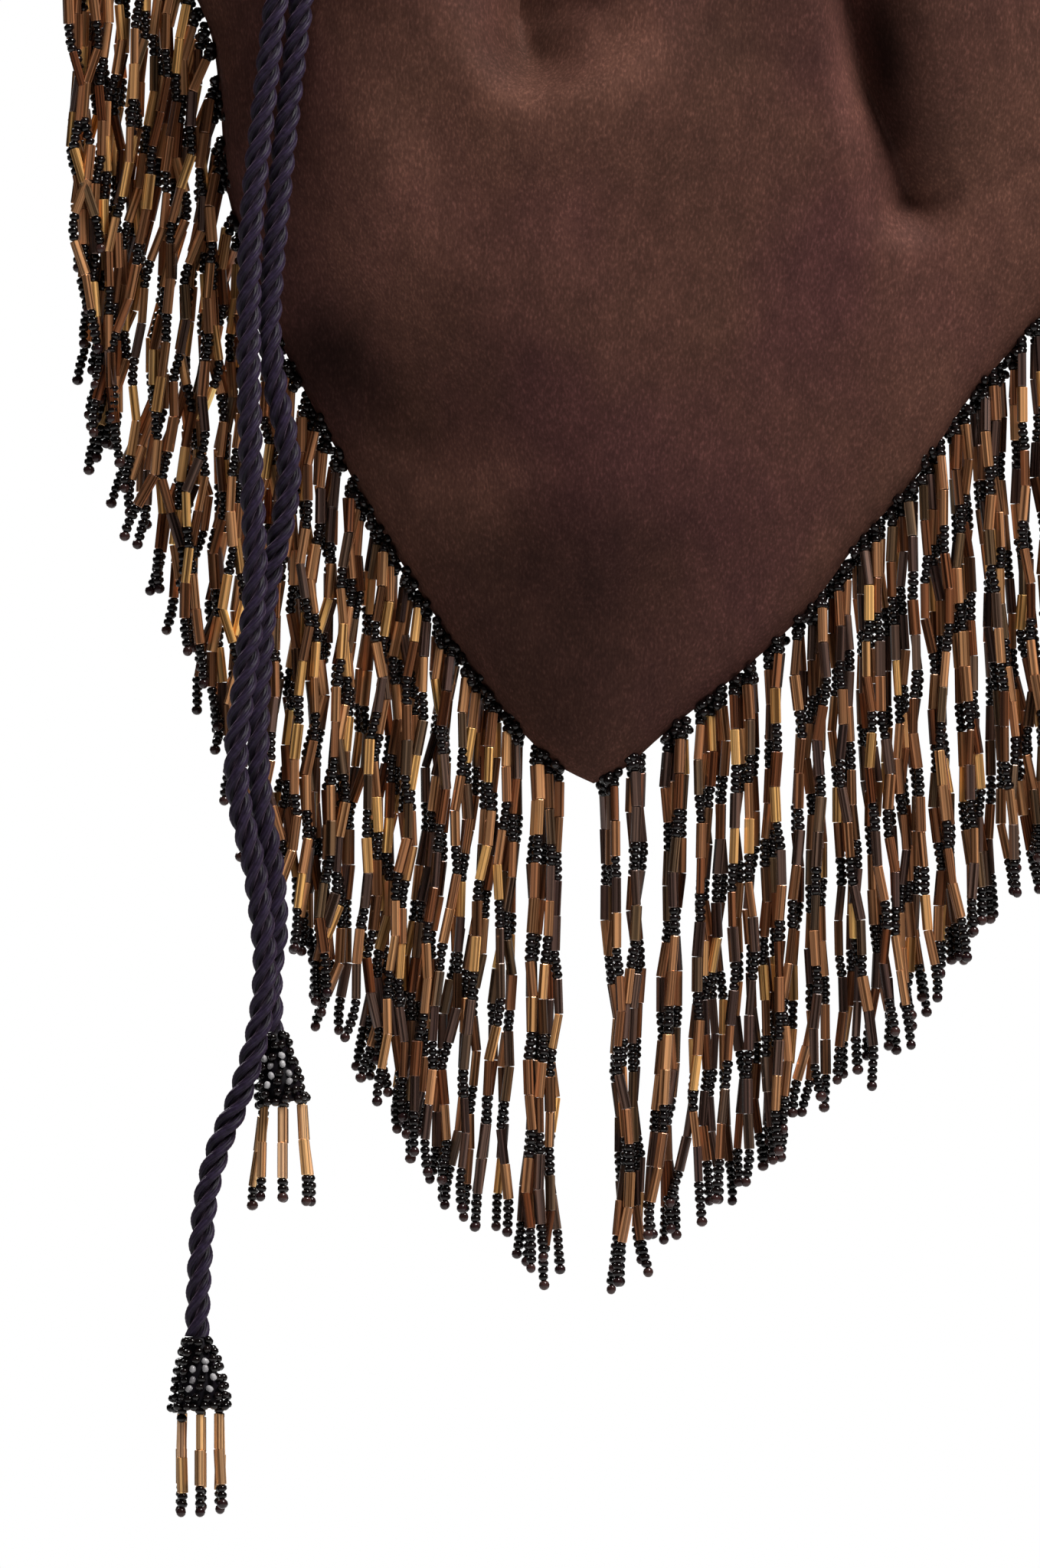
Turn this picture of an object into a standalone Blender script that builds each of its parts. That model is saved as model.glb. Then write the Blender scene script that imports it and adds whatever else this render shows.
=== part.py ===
"""Drawstring bag with a beaded fringe, hanging from its drawn neck.

The origin is the middle of the drawn neck, +Z is up, and the front faces -Y. All sizes are in metres.
Heights in the outline lists are counted up from the point of the bag, and widths from a line through it.
"""

import math

import bpy
import numpy as np

# Neck: the drawn ring of cloth that the cord closes
TIP_DROP = 0.271
NECK_OFFSET = 0.006
NECK_HALF_WIDTH = 0.055
NECK_HALF_DEPTH = 0.021
NECK_BAND = 0.018
PLEATS = 11
PLEAT_DEPTH = 0.0018
PLEAT_FADE = 0.16
FRILL_HEIGHT = 0.024
FRILL_FLARE = 0.009
FRILL_WAVE = 0.0042
FRILL_CURL = 1.5

# Cloth
VELVET = 0.0012
LINING = 0.0007
FIT_GAP = 0.0003
BELLY_FRONT = 0.020
BELLY_BACK = 0.018
LINING_BELLY = 0.004
LINING_INSET = 0.008
SWELL_ACROSS = 0.6
SWELL_UP = 0.8
FOLD_ONSET = 0.25
HEM_FADE = 0.33
SIDE_FADE = 0.5

# Hem from under the neck's left side down to the point, and up again to its right side, as
# (sideways from the point, height above the point)
LEFT_HEM = [
    (-0.0560, 0.2600),
    (-0.0780, 0.2450),
    (-0.0955, 0.2220),
    (-0.1005, 0.2040),
    (-0.0960, 0.1850),
    (-0.0850, 0.1670),
    (-0.0760, 0.1500),
    (-0.0735, 0.1320),
    (-0.0718, 0.1150),
    (-0.0624, 0.0890),
    (-0.0495, 0.0640),
    (-0.0358, 0.0405),
    (-0.0205, 0.0180),
    (-0.0085, 0.0048),
    (0.0000, 0.0000),
]
RIGHT_HEM = [
    (0.0000, 0.0000),
    (0.0060, 0.0030),
    (0.0145, 0.0105),
    (0.0282, 0.0215),
    (0.0419, 0.0340),
    (0.0520, 0.0475),
    (0.0640, 0.0610),
    (0.0740, 0.0760),
    (0.0887, 0.0930),
    (0.1010, 0.1100),
    (0.1100, 0.1350),
    (0.1130, 0.1620),
    (0.1090, 0.1920),
    (0.0990, 0.2200),
    (0.0860, 0.2430),
    (0.0670, 0.2600),
]

# Soft folds that run down from the neck, as (start, end, half width at the start and at the end,
# height out of the cloth); a valley has a height below nothing
FRONT_FOLDS = [
    ((0.0200, 0.262), (0.0600, 0.118), (0.0045, 0.0085), -0.0085),
    ((0.0100, 0.262), (0.0470, 0.125), (0.0050, 0.0090), 0.0030),
    ((0.0020, 0.262), (-0.0100, 0.150), (0.0060, 0.0130), -0.0060),
    ((-0.0100, 0.262), (-0.0330, 0.125), (0.0060, 0.0120), 0.0035),
    ((-0.0260, 0.262), (-0.0560, 0.150), (0.0050, 0.0090), -0.0040),
    ((0.0380, 0.262), (0.0800, 0.150), (0.0050, 0.0100), -0.0040),
    ((0.0350, 0.068), (0.0500, 0.050), (0.0045, 0.0045), -0.0022),
]
BACK_FOLDS = [
    ((-0.0250, 0.262), (-0.0620, 0.140), (0.0055, 0.0110), -0.0060),
    ((0.0050, 0.262), (0.0020, 0.110), (0.0060, 0.0140), -0.0050),
    ((0.0320, 0.262), (0.0680, 0.130), (0.0055, 0.0110), -0.0065),
]

# Drawstring and its casing
CORD = 0.005
TAPE = 0.0009
TAPE_HALF_HEIGHT = 0.0078
TAPE_CROWN = 0.0034
EXIT_LEFT = 6
EXIT_RIGHT = 12

# Fringe
SECTIONS = 34
SECTION_STRANDS = 4
BEAD = 0.0018
EDGING_DEPTH = 0.0018
STRAND_LENGTH = 0.1064
STRAND_CLEARANCE = 0.0004
STRAND_REACH = 0.0018
STRAND_WAVE = 0.0008
WAVE_LENGTH = 0.200

# Tassels
CAP_LENGTH = 0.0135
CAP_NECK = 0.0030
CAP_RADIUS = 0.0056
CAP_SWELL = ((0.3, 0.3), (0.7, 0.8))
CAP_SIDES = 10
STRAND_SIDES = 5
TASSEL_STRANDS = 6
TASSEL_BEAD = 0.0018
TASSEL_RING = 0.0040
LOWER_TASSEL_DROP = 0.0215
UPPER_TASSEL_DROP = 0.0235
TASSEL_SPLAY = 0.0016
TASSEL_UNEVEN = 0.0014
LOWER_TASSEL_LEAN = 0.0008
UPPER_TASSEL_LEAN = 0.0022

# Colours and finishes: colour, roughness, metallic
VELVET_BROWN = ((0.075, 0.040, 0.030, 1), 0.75, 0.0)
LINING_BROWN = ((0.060, 0.034, 0.028, 1), 0.55, 0.0)
CORD_PLUM = ((0.035, 0.025, 0.050, 1), 0.6, 0.0)
BEAD_BLACK = ((0.012, 0.010, 0.010, 1), 0.15, 0.0)
BEAD_BRONZE = ((0.250, 0.140, 0.060, 1), 0.3, 0.6)

# The hanging cords, from the casing down to their tassels, in the bag's own frame
LONG_CORD = [
    (-0.0381, -0.0207, 0.0000),
    (-0.0410, -0.0197, 0.0000),
    (-0.0452, -0.0214, -0.0012),
    (-0.0489, -0.0232, -0.0042),
    (-0.0517, -0.0236, -0.0090),
    (-0.0536, -0.0234, -0.0155),
    (-0.0556, -0.0232, -0.0260),
    (-0.0580, -0.0248, -0.0420),
    (-0.0600, -0.0263, -0.0550),
    (-0.0622, -0.0274, -0.0700),
    (-0.0644, -0.0276, -0.0850),
    (-0.0663, -0.0266, -0.1000),
    (-0.0684, -0.0254, -0.1158),
    (-0.0711, -0.0248, -0.1386),
    (-0.0735, -0.0245, -0.1614),
    (-0.0740, -0.0245, -0.1842),
    (-0.0736, -0.0245, -0.2071),
    (-0.0727, -0.0245, -0.2310),
    (-0.0743, -0.0245, -0.2467),
    (-0.0764, -0.0245, -0.2650),
    (-0.0756, -0.0245, -0.2765),
    (-0.0731, -0.0245, -0.2870),
    (-0.0713, -0.0245, -0.2996),
    (-0.0708, -0.0245, -0.3091),
    (-0.0722, -0.0245, -0.3205),
    (-0.0759, -0.0245, -0.3334),
    (-0.0797, -0.0245, -0.3426),
    (-0.0824, -0.0245, -0.3532),
    (-0.0836, -0.0245, -0.3660),
    (-0.0842, -0.0245, -0.3803),
]
SHORT_CORD = [
    (-0.0531, -0.0129, 0.0000),
    (-0.0508, -0.0148, 0.0000),
    (-0.0476, -0.0173, -0.0040),
    (-0.0459, -0.0189, -0.0095),
    (-0.0453, -0.0205, -0.0165),
    (-0.0466, -0.0235, -0.0260),
    (-0.0500, -0.0265, -0.0420),
    (-0.0532, -0.0273, -0.0550),
    (-0.0566, -0.0269, -0.0700),
    (-0.0592, -0.0256, -0.0850),
    (-0.0612, -0.0240, -0.1000),
    (-0.0634, -0.0226, -0.1158),
    (-0.0656, -0.0222, -0.1330),
    (-0.0679, -0.0219, -0.1538),
    (-0.0700, -0.0208, -0.1790),
    (-0.0690, -0.0209, -0.1919),
    (-0.0669, -0.0214, -0.2020),
    (-0.0661, -0.0212, -0.2101),
    (-0.0672, -0.0206, -0.2192),
    (-0.0703, -0.0192, -0.2320),
    (-0.0717, -0.0193, -0.2467),
    (-0.0724, -0.0202, -0.2620),
    (-0.0717, -0.0203, -0.2756),
    (-0.0696, -0.0200, -0.2870),
    (-0.0687, -0.0194, -0.2996),
    (-0.0698, -0.0189, -0.3091),
    (-0.0696, -0.0189, -0.3205),
]
CORD_STEP = 0.0115

# Sides of the bag along Y, and how finely its surfaces are divided
FRONT, BACK = -1, 1
SIDE_COLUMNS = 22
RING_STRIDE = 2
FRONT_ROWS = 10
BACK_ROWS = 7
LINING_ROWS = 6
LINING_SKIP = 3


def clear_scene():
    for item in list(bpy.data.objects):
        bpy.data.objects.remove(item)


def finish_of(name, finish):
    colour, roughness, metallic = finish
    material = bpy.data.materials.new(name)
    material.use_nodes = True
    shader = material.node_tree.nodes["Principled BSDF"]
    shader.inputs["Base Color"].default_value = colour
    shader.inputs["Roughness"].default_value = roughness
    shader.inputs["Metallic"].default_value = metallic
    return material


def add_mesh(name, points, faces, material):
    mesh = bpy.data.meshes.new(name)
    mesh.from_pydata([tuple(float(x) for x in p) for p in points], [], faces)
    mesh.update()
    item = bpy.data.objects.new(name, mesh)
    bpy.context.collection.objects.link(item)
    mesh.materials.append(material)
    return item


def placed(point):
    """A point of an outline list, moved into the bag's own frame."""
    return np.array([point[0] - NECK_OFFSET, point[1] - TIP_DROP])


def smooth_line(points, per_span=12):
    """A Catmull-Rom curve through the points, as a fine polyline."""
    p = np.array(points, float)
    p = np.vstack([2 * p[0] - p[1], p, 2 * p[-1] - p[-2]])
    fine = []
    for i in range(1, len(p) - 2):
        for t in np.arange(per_span) / per_span:
            fine.append(
                0.5
                * (
                    2 * p[i]
                    + (p[i + 1] - p[i - 1]) * t
                    + (2 * p[i - 1] - 5 * p[i] + 4 * p[i + 1] - p[i + 2]) * t**2
                    + (3 * p[i] - p[i - 1] - 3 * p[i + 1] + p[i + 2]) * t**3
                )
            )
    fine.append(p[-2])
    return np.array(fine)


def spaced(line, count):
    """The line again, as count equal stretches."""
    along = np.concatenate([[0], np.cumsum(np.linalg.norm(np.diff(line, axis=0), axis=1))])
    at = np.linspace(0, along[-1], count + 1)
    return np.stack([np.interp(at, along, line[:, k]) for k in range(line.shape[1])], axis=1)


def hem_line():
    """The hem's corners, one for each column of the panels: left side, point, right side."""
    left = spaced(smooth_line([placed(p) for p in LEFT_HEM]), SIDE_COLUMNS)
    right = spaced(smooth_line([placed(p) for p in RIGHT_HEM]), SIDE_COLUMNS)
    return np.vstack([left, right[1:]])


def outward_normals(line):
    """The outward direction at each corner of the hem, averaged from its two edges."""
    edges = np.diff(line, axis=0)
    edges /= np.linalg.norm(edges, axis=1)[:, None]
    sides = np.stack([edges[:, 1], -edges[:, 0]], axis=1)
    corner = np.vstack([sides[:1], sides[:-1] + sides[1:], sides[-1:]])
    return corner / np.linalg.norm(corner, axis=1)[:, None]


def neck_ring(share, outward):
    """A point of the neck's oval seen from above, share 0 at the left end and 1 at the right, in front."""
    angle = math.pi * (1 - share)
    across, deep = NECK_HALF_WIDTH, NECK_HALF_DEPTH
    normal = np.array([deep * math.cos(angle), -across * math.sin(angle)])
    normal /= np.linalg.norm(normal)
    return np.array([across * math.cos(angle), -deep * math.sin(angle)]) + outward * normal


def smooth_step(t):
    t = min(1.0, max(0.0, t))
    return t * t * (3 - 2 * t)


def fold_height(folds, x, z):
    """How far the folds lift a point of the panel out of its plain shape."""
    total = 0.0
    here = np.array([x, z])
    for start, end, (wide_start, wide_end), height in folds:
        first = placed(start)
        run = placed(end) - first
        length = np.linalg.norm(run)
        run /= length
        along = (here - first) @ run / length
        away = abs((here - first) @ np.array([run[1], -run[0]]))
        wide = wide_start + (wide_end - wide_start) * min(1.0, max(0.0, along))
        past = max(0.0, along - 1) * length
        spread = math.hypot(away, past) / wide
        if along > 0:
            total += height * math.exp(-spread * spread) * smooth_step(along / FOLD_ONSET)
    return total


def panel_depth(share, rise, belly, neck_depth):
    """The plain depth of a panel out from the middle plane, rise 0 at the hem and 1 at the neck."""
    side = max(0.0, math.sin(math.pi * share))
    swell = belly * side**SWELL_ACROSS * max(0.0, math.sin(math.pi * rise**SWELL_UP)) ** SWELL_UP
    return swell + neck_depth * smooth_step(rise)


def panel_points(hem, side, belly, folds, rows):
    """The outer surface of a velvet panel: rows from the hem up to the frill's edge, columns across."""
    columns = len(hem) - 1
    band = NECK_BAND / 2
    grid = np.zeros((rows + 4, columns + 1, 3))
    for i in range(columns + 1):
        share = i / columns
        wave = math.cos(2 * math.pi * PLEATS * share)
        for j in range(rows + 1):
            rise = j / rows
            fade = math.exp(-(((1 - rise) / PLEAT_FADE) ** 2))
            ring = neck_ring(share, PLEAT_DEPTH * wave * fade)
            plain = neck_ring(share, 0)
            x = hem[i, 0] * (1 - rise) + plain[0] * rise + (ring - plain)[0]
            z = hem[i, 1] * (1 - rise) - band * rise
            depth = panel_depth(share, rise, belly, -plain[1])
            side_fade = max(0.0, math.sin(math.pi * share)) ** SIDE_FADE
            fold = fold_height(folds, x, z) * smooth_step(rise / HEM_FADE) * side_fade
            seat = FIT_GAP / 2 + VELVET * (1 - rise)
            grid[j, i] = (x, seat + depth + fold - (ring - plain)[1], z)
        for j, up in enumerate((0.0, 0.5, 1.0)):
            outward = FRILL_FLARE * up**FRILL_CURL + (PLEAT_DEPTH + (FRILL_WAVE - PLEAT_DEPTH) * up) * wave
            ring = neck_ring(share, outward)
            grid[rows + 1 + j, i] = (ring[0], FIT_GAP / 2 - ring[1], band + FRILL_HEIGHT * up)
    grid[:, :, 1] *= side
    return grid


def lining_points(hem, side):
    """The lining's outer surface, hung inside the panel from the neck band."""
    normals = outward_normals(hem)
    picked = list(range(1, len(hem) - 1, LINING_SKIP))
    ease = PLEAT_DEPTH + VELVET + 2 * FIT_GAP
    grid = np.zeros((LINING_ROWS + 2, len(picked), 3))
    for c, i in enumerate(picked):
        share = c / (len(picked) - 1)
        low = hem[i] - normals[i] * LINING_INSET
        ring = neck_ring(share, -ease)
        for j in range(LINING_ROWS + 1):
            rise = j / LINING_ROWS
            x = low[0] * (1 - rise) + ring[0] * rise
            z = low[1] * (1 - rise) - NECK_BAND / 2 * rise
            depth = panel_depth(share, rise, LINING_BELLY, -ring[1])
            grid[j, c] = (x, FIT_GAP / 2 + LINING * (1 - rise) + depth, z)
        grid[LINING_ROWS + 1, c] = (ring[0], FIT_GAP / 2 - ring[1], NECK_BAND / 4)
    grid[:, :, 1] *= side
    return grid


def shell(name, outer, side, thickness, material):
    """A closed sheet: the outer grid, an inner one a thickness inside it, and a rim all round."""
    rows, columns = outer.shape[:2]
    across = np.gradient(outer, axis=1)
    up = np.gradient(outer, axis=0)
    normal = np.cross(across, up) * -side
    normal /= np.linalg.norm(normal, axis=2)[:, :, None]
    inner = outer - normal * thickness
    middle = FIT_GAP / 2
    inner[:, :, 1] = side * np.maximum(side * inner[:, :, 1], middle)
    points = np.concatenate([outer.reshape(-1, 3), inner.reshape(-1, 3)])
    count = rows * columns

    def at(j, i, layer):
        return layer * count + j * columns + i

    faces = []

    def quad(a, b, c, d):
        corners = (a, b, c, d) if side == FRONT else (d, c, b, a)
        faces.append((corners[0], corners[1], corners[2]))
        faces.append((corners[0], corners[2], corners[3]))

    for j in range(rows - 1):
        for i in range(columns - 1):
            quad(at(j, i, 0), at(j, i + 1, 0), at(j + 1, i + 1, 0), at(j + 1, i, 0))
            quad(at(j, i + 1, 1), at(j, i, 1), at(j + 1, i, 1), at(j + 1, i + 1, 1))
    for i in range(columns - 1):
        quad(at(0, i + 1, 0), at(0, i, 0), at(0, i, 1), at(0, i + 1, 1))
        top = rows - 1
        quad(at(top, i, 0), at(top, i + 1, 0), at(top, i + 1, 1), at(top, i, 1))
    for j in range(rows - 1):
        quad(at(j, 0, 0), at(j + 1, 0, 0), at(j + 1, 0, 1), at(j, 0, 1))
        last = columns - 1
        quad(at(j + 1, last, 0), at(j, last, 0), at(j, last, 1), at(j + 1, last, 1))
    add_mesh(name, points, faces, material).data.shade_smooth()


def ring_share(step):
    """Where a column of the whole neck ring lies: steps run round the front, then back along the rear."""
    columns = 2 * SIDE_COLUMNS
    around = step % (2 * columns)
    if around <= columns:
        return around / columns, FRONT
    return (2 * columns - around) / columns, BACK


def ring_point(step, outward, height):
    share, side = ring_share(step)
    ring = neck_ring(share, outward)
    return np.array([ring[0], ring[1] if side == FRONT else -ring[1], height])


def casing_tape(name, first, last, material):
    """A sewn band over the cord, swept round the neck between two steps of the ring."""
    seat = PLEAT_DEPTH + 2 * FIT_GAP
    crown = seat + CORD + 2 * FIT_GAP
    profile = [
        (seat, -TAPE_HALF_HEIGHT),
        (crown, -TAPE_CROWN),
        (crown, TAPE_CROWN),
        (seat, TAPE_HALF_HEIGHT),
        (seat + TAPE, TAPE_HALF_HEIGHT),
        (crown + TAPE, TAPE_CROWN),
        (crown + TAPE, -TAPE_CROWN),
        (seat + TAPE, -TAPE_HALF_HEIGHT),
    ]
    steps = np.linspace(first, last, round((last - first) / RING_STRIDE) + 1)
    points = [ring_point(s, r, z) for s in steps for r, z in profile]
    size = len(profile)
    faces = []
    for k in range(len(steps) - 1):
        for i in range(size):
            a, b = k * size + i, k * size + (i + 1) % size
            faces.append((a, b, b + size, a + size))
    for start, turned in ((0, False), ((len(steps) - 1) * size, True)):
        for a, b, c, d in ((0, 1, 6, 7), (1, 2, 5, 6), (2, 3, 4, 5)):
            cap = (start + d, start + c, start + b, start + a)
            faces.append(cap[::-1] if turned else cap)
    item = add_mesh(name, points, faces, material)
    item.data.shade_smooth()
    item.data.set_sharp_from_angle(angle=math.radians(40))


def tube(name, line, diameter, material, bevel_steps=2):
    """A round cord: a curve along the line with a bevel and filled ends."""
    curve = bpy.data.curves.new(name, "CURVE")
    curve.dimensions = "3D"
    curve.bevel_depth = diameter / 2
    curve.bevel_resolution = bevel_steps
    curve.render_resolution_u = 0
    curve.use_fill_caps = True
    spline = curve.splines.new("POLY")
    spline.points.add(len(line) - 1)
    for point, place in zip(spline.points, line, strict=True):
        point.co = (*[float(x) for x in place], 1)
    item = bpy.data.objects.new(name, curve)
    bpy.context.collection.objects.link(item)
    curve.materials.append(material)


def hanging_cord(name, route, material):
    """A free end of the drawstring: straight out of the casing to its second point, then smooth."""
    line = smooth_line(route[1:])
    length = np.linalg.norm(np.diff(line, axis=0), axis=1).sum()
    line = spaced(line, round(length / CORD_STEP))
    tube(name, np.vstack([route[:1], line]), CORD, material)


def neck_drawstring(material):
    """The cord's stretch inside the casing, right round the neck from one exit to the other."""
    seat = PLEAT_DEPTH + 3 * FIT_GAP + CORD / 2
    steps = range(EXIT_RIGHT, 4 * SIDE_COLUMNS + EXIT_LEFT + 1, RING_STRIDE)
    tube("neck_drawstring", [ring_point(step, seat, 0) for step in steps], CORD, material)


def fringe_frame(hem):
    """Where the fringe starts and ends along the hem, and the hem's point and normal at any length."""
    normals = outward_normals(hem)
    along = np.concatenate([[0], np.cumsum(np.linalg.norm(np.diff(hem, axis=0), axis=1))])
    start = along[int(np.argmin(hem[:, 0]))]
    end = along[int(np.argmax(hem[:, 0]))]

    def at(length):
        point = np.array([np.interp(length, along, hem[:, k]) for k in (0, 1)])
        normal = np.array([np.interp(length, along, normals[:, k]) for k in (0, 1)])
        return point, normal / np.linalg.norm(normal)

    return start, end, at


def strand_lines(places, at):
    """The upright line that each strand hangs on: beside its place, and never closer than a bead to
    the next strand of the same layer."""
    pitch = (BEAD + STRAND_CLEARANCE) / SECTION_STRANDS
    lines = []
    for place in places:
        point, normal = at(place)
        lines.append(point[0] + normal[0] * (FIT_GAP + EDGING_DEPTH + STRAND_REACH))
    middle = int(np.argmin([at(place)[0][1] for place in places]))
    for k in range(middle - 1, -1, -1):
        lines[k] = min(lines[k], lines[k + 1] - pitch)
    for k in range(middle + 1, len(lines)):
        lines[k] = max(lines[k], lines[k - 1] + pitch)
    return lines


def ring_of(centre, direction):
    """The four corners of a strand's square section, seen along its direction in the plane of the bag."""
    aside = np.array([-direction[1], direction[0]])
    corners = []
    for a, b in ((-1, -1), (1, -1), (1, 1), (-1, 1)):
        flat = aside * a * BEAD / 2
        corners.append((centre[0] + flat[0], centre[1] + b * BEAD / 2, centre[2] + flat[1]))
    return corners


def wave(x, z):
    return STRAND_WAVE * math.sin(2 * math.pi * (z / WAVE_LENGTH + x / WAVE_LENGTH))


def fringe_section(name, first, places, lines, span, at, material):
    """A stretch of beaded edging along the hem with its strands, as one solid comb."""
    points, faces = [], []
    start, end = span
    stations = [start]
    for place in places:
        stations += [place - BEAD / 2, place + BEAD / 2]
    stations.append(end)
    for length in stations:
        point, normal = at(length)
        for outward, y in ((0, -1), (0, 1), (1, 1), (1, -1)):
            spot = point + normal * (FIT_GAP + EDGING_DEPTH * outward)
            points.append((spot[0], y * BEAD / 2, spot[1]))
    for k in range(len(stations) - 1):
        base = 4 * k
        for i in range(4):
            if i == 2 and k % 2 == 1:
                continue
            a, b = base + i, base + (i + 1) % 4
            faces.append((a, a + 4, b + 4, b))
    faces.append((0, 1, 2, 3))
    last = 4 * (len(stations) - 1)
    faces.append((last + 3, last + 2, last + 1, last))
    layers = (0, 2, 1, 3)
    for k, (place, line) in enumerate(zip(places, lines, strict=True)):
        point, normal = at(place)
        top = point + normal * (FIT_GAP + EDGING_DEPTH)
        layer = layers[(first + k) % SECTION_STRANDS] - (SECTION_STRANDS - 1) / 2
        y = layer * (BEAD + STRAND_CLEARANCE)
        bend = top[1] + normal[1] * STRAND_REACH - BEAD
        low = top[1] - STRAND_LENGTH
        middle = (bend + low) / 2
        turned = normal + np.array([0, -1])
        ring = [4 * (2 * k + 1) + 3, 4 * (2 * k + 2) + 3, 4 * (2 * k + 2) + 2, 4 * (2 * k + 1) + 2]
        down = np.array([0.0, -1.0])
        rings = [
            ((line, y, bend), turned / np.linalg.norm(turned)),
            ((line + wave(line, middle), y, middle), down),
            ((line, y, low), down),
        ]
        for centre, direction in rings:
            fresh = list(range(len(points), len(points) + 4))
            points += ring_of(centre, direction)
            for i in range(4):
                j = (i + 1) % 4
                faces.append((ring[i], fresh[i], fresh[j], ring[j]))
            ring = fresh
        faces.append(tuple(reversed(ring)))
    add_mesh(name, points, faces, material)


def fringe(hem, material):
    start, end, at = fringe_frame(hem)
    count = SECTIONS * SECTION_STRANDS
    pitch = (end - start) / count
    places = [start + pitch * (k + 0.5) for k in range(count)]
    lines = strand_lines(places, at)
    for section in range(SECTIONS):
        first = section * SECTION_STRANDS
        chosen = slice(first, first + SECTION_STRANDS)
        span = (start + pitch * first + FIT_GAP / 2, start + pitch * (first + SECTION_STRANDS) - FIT_GAP / 2)
        name = f"fringe_{section + 1:02d}"
        fringe_section(name, first, places[chosen], lines[chosen], span, at, material)


def square_to(axis):
    """Two directions square to an axis and to each other."""
    side = np.cross(axis, [0, 1, 0])
    side /= np.linalg.norm(side)
    return side, np.cross(axis, side)


def turned_solid(name, profile, start, end, sides, material):
    """A solid of round section along a slanted axis, from (share along the axis, radius) pairs."""
    side, front = square_to((end - start) / np.linalg.norm(end - start))
    points, faces = [], []
    for share, radius in profile:
        centre = start + (end - start) * share
        for i in range(sides):
            angle = 2 * math.pi * i / sides
            points.append(centre + radius * (math.cos(angle) * side + math.sin(angle) * front))
    for k in range(len(profile) - 1):
        for i in range(sides):
            j = (i + 1) % sides
            faces.append((k * sides + i, k * sides + j, (k + 1) * sides + j, (k + 1) * sides + i))
    faces.append(tuple(range(sides))[::-1])
    faces.append(tuple((len(profile) - 1) * sides + i for i in range(sides)))
    return add_mesh(name, points, faces, material)


def tassel(name, route, drop, lean, cap_material, strand_material):
    """A netted bead cap on a cord's end, and the strands that hang from its rim."""
    line = smooth_line(route)
    heading = (line[-1] - line[-2]) / np.linalg.norm(line[-1] - line[-2])
    top = line[-1] + heading * 2 * FIT_GAP
    bottom = top + np.array([lean, 0, -CAP_LENGTH])
    swell = [(along, CAP_NECK + (CAP_RADIUS - CAP_NECK) * share) for along, share in CAP_SWELL]
    profile = [(0.0, CAP_NECK), *swell, (1.0, CAP_RADIUS)]
    turned_solid(f"{name}_cap", profile, top, bottom, CAP_SIDES, cap_material)
    axis = (bottom - top) / np.linalg.norm(bottom - top)
    side, front = square_to(axis)
    for k in range(TASSEL_STRANDS):
        angle = 2 * math.pi * (k + 0.5) / TASSEL_STRANDS
        out = math.cos(angle) * side + math.sin(angle) * front
        head = bottom + TASSEL_RING * out + 2 * FIT_GAP * axis
        foot = head + TASSEL_SPLAY * out + np.array([0, 0, TASSEL_UNEVEN * (k % 3) - drop])
        section = [(0, TASSEL_BEAD / 2), (1, TASSEL_BEAD / 2)]
        turned_solid(f"{name}_strand_{k + 1}", section, head, foot, STRAND_SIDES, strand_material)


def build():
    clear_scene()
    velvet = finish_of("velvet", VELVET_BROWN)
    satin = finish_of("lining", LINING_BROWN)
    plum = finish_of("cord", CORD_PLUM)
    black = finish_of("black_beads", BEAD_BLACK)
    bronze = finish_of("bronze_beads", BEAD_BRONZE)
    hem = hem_line()
    front = panel_points(hem, FRONT, BELLY_FRONT, FRONT_FOLDS, FRONT_ROWS)
    back = panel_points(hem, BACK, BELLY_BACK, BACK_FOLDS, BACK_ROWS)
    shell("front_panel", front, FRONT, VELVET, velvet)
    shell("back_panel", back, BACK, VELVET, velvet)
    shell("lining_front", lining_points(hem, FRONT), FRONT, LINING, satin)
    shell("lining_back", lining_points(hem, BACK), BACK, LINING, satin)
    casing_tape("casing_tape_front", EXIT_RIGHT, 2 * SIDE_COLUMNS, velvet)
    casing_tape("casing_tape_back", 2 * SIDE_COLUMNS, 4 * SIDE_COLUMNS + EXIT_LEFT, velvet)
    neck_drawstring(plum)
    hanging_cord("long_cord", LONG_CORD, plum)
    hanging_cord("short_cord", SHORT_CORD, plum)
    tassel("lower_tassel", LONG_CORD, LOWER_TASSEL_DROP, LOWER_TASSEL_LEAN, black, bronze)
    tassel("upper_tassel", SHORT_CORD, UPPER_TASSEL_DROP, UPPER_TASSEL_LEAN, black, bronze)
    fringe(hem, bronze)


build()
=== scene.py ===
"""The looks of a velvet drawstring bag with a bead fringe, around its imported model.

All sizes are in metres. In the lists below, a place is counted sideways and up from the hem's point,
except for the cords, whose points are in the model's own frame.
"""

import math
import random

import bpy
import numpy as np
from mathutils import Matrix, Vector, noise

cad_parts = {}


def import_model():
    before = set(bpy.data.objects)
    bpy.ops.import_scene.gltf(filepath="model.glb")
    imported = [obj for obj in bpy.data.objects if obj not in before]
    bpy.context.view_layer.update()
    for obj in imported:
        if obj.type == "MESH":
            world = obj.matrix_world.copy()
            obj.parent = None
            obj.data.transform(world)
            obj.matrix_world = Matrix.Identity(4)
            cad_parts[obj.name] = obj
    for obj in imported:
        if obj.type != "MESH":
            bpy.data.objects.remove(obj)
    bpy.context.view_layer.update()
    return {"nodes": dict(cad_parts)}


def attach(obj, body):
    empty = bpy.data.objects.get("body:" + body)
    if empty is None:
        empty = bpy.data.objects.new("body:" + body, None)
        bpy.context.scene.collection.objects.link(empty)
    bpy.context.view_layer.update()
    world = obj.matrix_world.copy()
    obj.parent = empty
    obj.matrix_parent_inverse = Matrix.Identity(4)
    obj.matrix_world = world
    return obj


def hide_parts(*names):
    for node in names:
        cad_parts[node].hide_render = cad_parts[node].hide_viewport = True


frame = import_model()
BODY = "root"
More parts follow.
